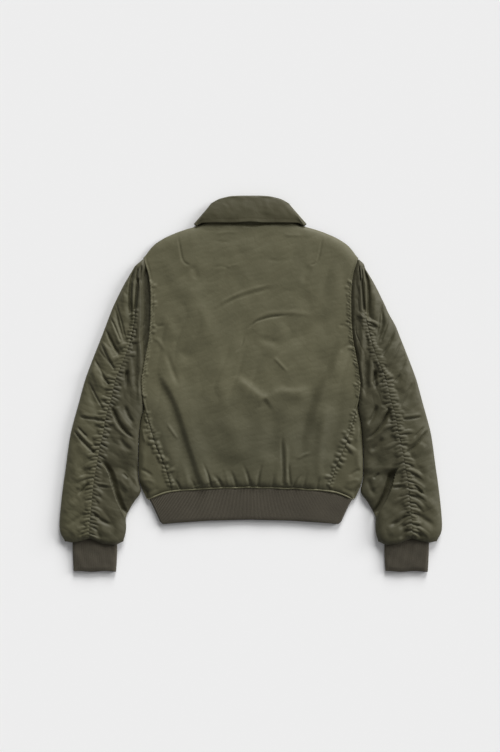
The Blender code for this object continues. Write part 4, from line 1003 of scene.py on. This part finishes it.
# %% Cuffs
CUFF_RIB = 2.3
CUFF = Table("y inner outer", [
    (-306, 265.5, 355.0), (-336, 265.0, 354.5), (-358, 266.0, 353.6), (-376.2, 267.4, 352.4)])


def make_cuff(side, word):
    rows, depth = band_rows(CUFF_TOP, CUFF_END, 1.6)
    inner, outer = CUFF.at("inner", rows, 5), CUFF.at("outer", rows, 5)
    top, under = np.linspace(0, 1, 150)[None, :], np.linspace(1, 0, 24)[None, :]
    radius = CUFF_HALF - depth
    start, width = inner + CUFF_HALF, outer - inner - 2 * CUFF_HALF
    top_x = start + width * top
    ribs = ribbed(depth, top * width + 0.5 * np.sin(rows / 13), CUFF_RIB)
    swell = 1.9 * np.sqrt(np.clip(1 - (2 * top - 1) ** 4, 0, 1)) * ease(-377, -366, rows)
    top_z = CUFF_HALF + radius + swell + ribs
    top_z = top_z + 0.35 * undulation(top_x, rows + 0 * top_x, 26, 40 + side)
    back_turn = TURN[:, ::-1]
    x = np.hstack([top_x, start + width + radius * np.cos(TURN), start + width * under,
                   start - radius * np.cos(back_turn), top_x[:, :1]])
    z = np.hstack([top_z, CUFF_HALF + radius * np.sin(TURN), CUFF_HALF - radius + 0 * width * under,
                   CUFF_HALF + radius * np.sin(back_turn), top_z[:, :1]])
    y = rows + 0 * x + ease(-350, -376, rows) * 0.9 * np.sin(x / 8.5 + side)
    return cloth(f"cuff_knit_{word}", side * x, y, np.maximum(z, 0.0), RIB, f"cuff_{word}")


cuffs = [make_cuff(-1, "left"), make_cuff(1, "right")]

# %% Waistband
BAND = Table("part fold", [(0.0, 203.6), (0.34, 193.5), (0.68, 185.0), (0.93, 179.0), (1.0, 173.0)])
BAND_HEIGHT, WAIST_HALF, HEM_HALF = 70.0, 204, 169
RIBS_TO_THE_SIDE = 67

down, depth = band_rows(0, -BAND_HEIGHT, 1.8)
part = -down / BAND_HEIGHT
fold = BAND.at("fold", part, 0.05)
radius, half = BAND_HALF - depth, fold - BAND_HALF
top = 2 * np.linspace(0, 1, 536)[None, :] - 1
top_x = half * top
right_x = half + (ZIP_EDGE - half) * np.linspace(0, 1, 46)[None, :]
swell = 1.4 * np.clip(1 - top ** 8, 0, 1) * ease(0, 0.18, part) * ease(1.02, 0.9, part)
top_z = BAND_HALF + radius + swell + ribbed(depth, top * RIBS_TO_THE_SIDE, 1)
top_z += 0.3 * undulation(top_x, down + 0 * top_x, 60, 44)
left_turn = TURN[:, ::-1]
x = np.hstack([-right_x[:, ::-1], -half - radius * np.cos(left_turn), top_x,
               half + radius * np.cos(TURN), right_x])
z = np.hstack([BAND_HALF - radius + 0 * right_x, BAND_HALF + radius * np.sin(left_turn), top_z,
               BAND_HALF + radius * np.sin(TURN), BAND_HALF - radius + 0 * right_x])
low = np.hstack([1 + 0 * right_x, 0.5 - 0.5 * np.sin(left_turn) + 0 * half, 0 * top_x,
                 0.5 - 0.5 * np.sin(TURN) + 0 * half, 1 + 0 * right_x])
spread = abs(x) * WAIST_HALF / fold
first = WAIST_LINE.at("y", spread, SOFT) * (1 - low) + WAIST_LINE.at("under", spread, SOFT) * low + 3.0
last = HEM.at("y", abs(x) * HEM_HALF / fold, 6)
y = first + part * (last - first)
waistband = cloth("waistband_knit", x, y, np.maximum(z, 0.0), RIB, "waistband", up=False)

# %% [markdown]
# ## The collar
# One folded band: the fall lies on the shoulders, the fold is its top edge, and the stand goes down inside
# to the neck. At the sides it turns under the fronts. A single sheet would do from above, but the band is
# given its thickness, because its free edge shows. The grid runs round the band (rows) and from the free
# edge over the fold to the neck (columns), and the outer side has a sewn line 6 mm from the free edge.

# %% The collar's lines
COLLAR = Table("row neck_x neck_y fold_x fold_y free_x free_y", [
    (0, 0, 330.0, 0, 373.6, 0, 324.6), (1, 24, 330.0, 20, 373.6, 30, 323.0),
    (2, 48, 329.0, 40, 372.6, 62, 323.2), (3, 72, 326.5, 62, 367.2, 95, 322.8),
    (4, 94.9, 325.3, 82.5, 355.0, 105.3, 317.5),
    (5, 89.3, 301.0, 58, 337.0, 106, 288.0), (6, 68.3, 279.0, 44, 317.0, 92, 258.0),
    (7, 40.3, 261.0, 28, 302.0, 70, 228.0), (8, 9.0, 250.2, 10, 292.0, 16, 262.0)])
CORNER = 4  # the row where the collar turns under
LAST = 8
MIDDLE = 6.35  # height of the collar's middle
FALL_REACH, STAND_REACH = 6.4, 2.3  # how far fall and stand lie from it
HALF_WALL = 1.3
FALL_MM, SEWN_MM = 53.0, 6.4  # from the free edge to the fold, and to the sewn line
COLLAR_CREASES = [
    (-0.4, 4.0, [(-52, 368), (-40, 352), (-34, 338)]), (0.4, 5.0, [(28, 372), (34, 352), (30, 336)]),
    (-0.4, 4.5, [(60, 362), (72, 344), (84, 330)]), (0.4, 6.0, [(-84, 344), (-60, 340), (-36, 345)])]

# Each station is a row of the table and an angle: 90 on top, -90 underneath.
stations = [(row, 90.0) for row in np.arange(0, CORNER, 0.07)]
stations += [(float(CORNER), turn) for turn in np.linspace(90, -90, 17)]
stations += [(row, -90.0) for row in np.arange(CORNER + 0.15, LAST + 0.01, 0.15)]
stations = [(-1, *s) for s in stations[:0:-1]] + [(1, *s) for s in stations]
side, row, angle = np.array(stations).T
across = [("fall", part) for part in np.concatenate([[0, 0.015, 0.04], np.linspace(0.07, 1, 32)])]
across += [("fold", turn) for turn in (75, 50, 25, 0, -25, -50, -75)]
across += [("stand", part) for part in np.linspace(0, 1, 9)]
print("collar grid:", len(stations), "by", len(across))

# %% The collar's middle surface
edges = {name: np.stack([COLLAR.at(name + "_x", row, soft), COLLAR.at(name + "_y", row, soft)], -1)
         for name, soft in (("neck", 0.3), ("fold", 0.3), ("free", 0.12))}
up = edges["fold"] - edges["neck"]
up /= np.linalg.norm(up, axis=1, keepdims=True)
side_up = np.array([-24.0, 37.5])  # along the turned side, from the free corner to the fold
side_up /= np.linalg.norm(side_up)
outward = np.array([side_up[1], -side_up[0]])
turn = np.radians(angle)
grid = np.zeros((len(stations), len(across), 3))
fold_radius = (FALL_REACH - STAND_REACH) / 2
for column, (kind, value) in enumerate(across):
    reach, lift = FALL_REACH, 0
    if kind == "fall":
        flat = edges["free"] + (edges["fold"] - edges["free"]) * value
        # The fall bulges between its edges, and its free edge lies higher away from the corners.
        hump = 1.6 * ease(46, 6, abs(flat[:, 0] - 6)) * (1 - value) ** 2.5 + 1.4 * math.sin(math.pi * value)
        lift = (1.5 * hump + 3.2 * (1 - value) * ease(108, 76, flat[:, 0])) * (angle > 60)
    elif kind == "fold":
        bend = math.radians(value)
        flat = edges["fold"] + up * fold_radius * math.cos(bend)
        reach = STAND_REACH + fold_radius * (1 + math.sin(bend))
    else:
        flat = edges["fold"] + (edges["neck"] - edges["fold"]) * value
        reach = STAND_REACH
    near_fold = {"fall": value, "fold": 1.0, "stand": 1 - 0.5 * value}[kind]
    round_side = (1 - 0.72 * near_fold) * reach * np.cos(turn)
    flat = flat + (outward - 0.3 * side_up * near_fold) * round_side[:, None]
    grid[:, column] = np.stack([side * flat[:, 0], flat[:, 1], MIDDLE + reach * np.sin(turn) + lift], -1)
print("collar from corner to corner:", round(float(np.ptp(grid[:, 0, 0]))), "mm")

# %% The collar's two faces
run, cross = np.gradient(grid, axis=0), np.gradient(grid, axis=1)
normal = np.cross(run, cross)
normal /= np.maximum(np.linalg.norm(normal, axis=2, keepdims=True), 1e-9)
fall = np.array([value if kind == "fall" else 2.0 for kind, value in across])[None, :]
flat_x, flat_y = grid[:, :, 0], grid[:, :, 1]
relief = -0.2 * np.exp(-((fall * FALL_MM - SEWN_MM) / 1.4) ** 2)
relief = relief + 0.35 * undulation(flat_x, flat_y, 36, 61) + 0.1 * undulation(flat_x, flat_y, 13, 62)
relief += add_creases(flat_x, flat_y, COLLAR_CREASES)
shown = (fall <= 1.001) * (angle > 60)[:, None]
outer = grid + normal * (HALF_WALL + relief * shown)[:, :, None]
inner = grid - normal * HALF_WALL
outwards = grid[:, :1] - grid[:, 2:3]
outwards /= np.maximum(np.linalg.norm(outwards, axis=2, keepdims=True), TINY)
rim = (outer[:, :1] + inner[:, :1]) / 2 + outwards * 1.1
wall = np.concatenate([rim, outer, inner[:, ::-1], rim], axis=1)
# The left end is drawn together on the middle surface. The right one stays open, under the front.
end = np.concatenate([grid[:1, :1], grid[:1], grid[:1, ::-1], grid[:1, :1]], axis=1)
wall = np.concatenate([end, wall], axis=0)
collar = cloth("collar_cloth", wall[:, :, 0], wall[:, :, 1], np.maximum(wall[:, :, 2], 0.0), COLLAR_NYLON,
               "collar", weld=True)

# %% [markdown]
# ## Sewing
# A topstitch is a row of short threads that dip into the cloth at both ends. A texture could draw them, but
# it would stay flat, so each stitch is a small spindle. They lie on the cloth's own height, so they follow
# every pucker.

# %% Stitches
SPINDLE = Table("along rise size", [
    (0.06, -0.9, 0.25), (0.2, 0.1, 0.85), (0.4, 0.4, 1.0), (0.6, 0.1, 0.85), (0.74, -0.9, 0.25)])


def stitches(name, line, height, pitch, lift=0.15, radius=0.42):
    """Spindles along a line in millimetres, each leaving a gap to the next."""
    line = smooth_line(line, 0.8)
    along = lengths(line)
    starts = np.arange(0, along[-1] - pitch, pitch)
    around = np.radians(np.arange(0, 360, 60))
    points, faces = [], []
    for start in starts:
        at = start + pitch * SPINDLE["along"]
        x, y = np.interp(at, along, line[:, 0]), np.interp(at, along, line[:, 1])
        z = height(x, y) + lift + radius * SPINDLE["rise"]
        across = np.array([y[0] - y[-1], x[-1] - x[0]])
        across /= max(np.hypot(*across), TINY)
        base = len(points)
        for i, size in enumerate(radius * SPINDLE["size"]):
            points += [(x[i] + across[0] * size * math.cos(turn), y[i] + across[1] * size * math.cos(turn),
                        z[i] + size * math.sin(turn)) for turn in around]
        for i in range(base, base + 24, 6):
            faces += [(i + j, i + (j + 1) % 6, i + (j + 1) % 6 + 6, i + j + 6) for j in range(6)]
    points = np.array(points)
    points[:, 0] = settled(points[:, 0], points[:, 1])
    print(f"{name}: {len(starts)} stitches")
    return new_piece(name, points, faces, THREAD)


sewn = [stitches(f"armhole_stitches_{word}", armhole(side, 5.0, 238, -46), back_height, 3.4)
        for side, word in ((-1, "left"), (1, "right"))]

# %% The turned edge above the waistband
EDGING_HALF, EDGING_RISE, EDGING_Z, EDGING_BELOW = 1.9, 1.6, 9.3, 1.7
along = np.linspace(-203.5, 203.5, 330)[:, None]
turn = np.radians(np.linspace(-20, 200, 9))[None, :]
line_y = WAIST_LINE.at("y", abs(along), SOFT) - EDGING_BELOW + 0.5 * undulation(along, along * 0, 34, 71)
drop = ease(190, 203, abs(along)) * 3.2
y = line_y + EDGING_HALF * np.cos(turn)
z = EDGING_Z - drop + EDGING_RISE * np.sin(turn) + 0.25 * undulation(along, along * 0, 18, 72)
edging = cloth("waist_edging", along + 0 * turn, y, z, EDGING_HIGHLIGHT, None)

# %% [markdown]
# ## The zip
# The zip is closed and lies underneath, between the fronts. Its tape and chain keep their solid. The teeth
# could be hooked as real ones are, but small blocks at their real pitch look the same at this size. The
# slider and tab keep their shapes too, with a dull plated finish.

# %% Plated zinc


def plated(name, colour, other, roughness):
    """Zinc cast, plated dark and tumbled: metal that is worn to a soft gloss, with fine scuffs."""
    made, tree, shader = new_material(name, Metallic=1.0)
    place = add_node(tree, "TexCoord").outputs["Object"]
    scuff = add_node(tree, "TexNoise", {"Vector": place, "Scale": 700.0, "Detail": 4.0}).outputs["Fac"]
    tone = add_node(tree, "Mix", {0: scuff, 6: linear(colour), 7: linear(other)}, data_type="RGBA")
    rough = add_node(tree, "MapRange", {"Value": scuff, "To Min": roughness - 0.1,
                                        "To Max": roughness + 0.15})
    dent = add_node(tree, "Bump", {"Height": scuff, "Distance": 0.00005})
    tree.links.new(tone.outputs[2], shader.inputs["Base Color"])
    tree.links.new(rough.outputs["Result"], shader.inputs["Roughness"])
    tree.links.new(dent.outputs["Normal"], shader.inputs["Normal"])
    return made


METAL = plated("plated_zinc", "#77705c", "#8d8672", 0.35)
for node, material in (("front_zip", TAPE), ("zip_slider", METAL), ("zip_pull_tab", METAL)):
    frame["nodes"][node].material_slots[0].material = material
print("zip and slider are finished in", TAPE.name, "and", METAL.name)

# %% Zip teeth
TOOTH = np.array([(-0.6, -0.62), (2.4, -0.62), (2.4, 0.62), (-0.6, 0.62)])
TOOTH_PITCH = 1.45
BLOCK = ((7, 6, 5, 4), (0, 1, 5, 4), (1, 2, 6, 5), (2, 3, 7, 6), (3, 0, 4, 7))
points, faces = [], []
for k, y in enumerate(np.arange(-269.5, 228, TOOTH_PITCH)):
    side = -1 if k % 2 else 1
    base = len(points)
    points += [(side * a, y + b, z) for z, size in ((1.9, 1.0), (1.05, 0.86)) for a, b in TOOTH * size]
    faces += [tuple(base + i for i in face) for face in BLOCK]
new_piece("zip_teeth", points, faces, METAL, smooth=False)
print("zip teeth:", len(faces) // len(BLOCK))

# %% [markdown]
# ## What is cloth
# A garment lies as its cloth lets it. Here the sheets of cloth are counted.

print("sheets declared:", 5 + len(cuffs) + 2 * len(sleeves))

# %% [markdown]
# ## Table, light and camera
# The jacket lies on a pale table and is seen from straight above. The stronger of two broad low lights
# stands past the collar and the weaker one to the right, so that every crease has a lit and a dark side
# and the shadow falls to the left and below the hem. One light alone would leave the creases that run
# towards it flat. A pale sky fills the shadows.

# %% Table
scene = bpy.context.scene
REACH, BELOW = 6, -0.0004  # half the table's side, and its height, in metres
floor_mesh = bpy.data.meshes.new("table_top")
floor_mesh.from_pydata([(a * REACH, b * REACH, BELOW) for a, b in ((-1, -1), (1, -1), (1, 1), (-1, 1))], [],
                       [(0, 1, 2, 3)])
floor = bpy.data.objects.new("table_top", floor_mesh)
scene.collection.objects.link(floor)
# Uncoated white card: no gloss at all, so that it shows only light and shadow.
floor_mesh.materials.append(new_material("pale_paper", Base_Color=linear("#f2f2f2"), Roughness=0.95,
                                         Specular_IOR_Level=0.1)[0])
floor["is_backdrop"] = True
print("table side", 2 * REACH, "m")

# %% Lights


def sun(name, azimuth, elevation, softness, power):
    """A broad distant light. Azimuth 0 comes from past the collar and 90 from the right."""
    data = bpy.data.lights.new(name, "SUN")
    data.angle, data.energy = math.radians(softness), power
    made = bpy.data.objects.new(name, data)
    made.rotation_euler = (math.radians(90 - elevation), 0, math.radians(180 - azimuth))
    scene.collection.objects.link(made)
    return made


sun("key_light", 12, 24, 28, 3.4)
sun("side_light", 66, 22, 28, 2.2)
world = bpy.data.worlds.new("pale_sky")
world.use_nodes = True
sky = world.node_tree.nodes["Background"].inputs
sky["Color"].default_value, sky["Strength"].default_value = linear("#ffffff"), 0.253
scene.world = world
print("lights:", len(bpy.data.lights))

# %% Camera
# The frame is 500 by 752 pixels at 2 mm to the pixel, so its long side is 1504 mm of the table.
LONG_SIDE, SENSOR, LENS = 1.504, 36, 90
camera_data = bpy.data.cameras.new("camera")
camera_data.sensor_width, camera_data.lens = SENSOR, LENS
camera = bpy.data.objects.new("camera", camera_data)
camera.location = (0.001, 0.016, LONG_SIDE / SENSOR * LENS + 0.012)
scene.collection.objects.link(camera)
scene.camera = camera
scene.view_settings.view_transform = "Standard"
print("camera", round(camera.location.z, 3), "m up")

# %% [markdown]
# ## Sizes
# The bounds of the finished jacket are measured.

# %% Sizes and finish
low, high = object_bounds()
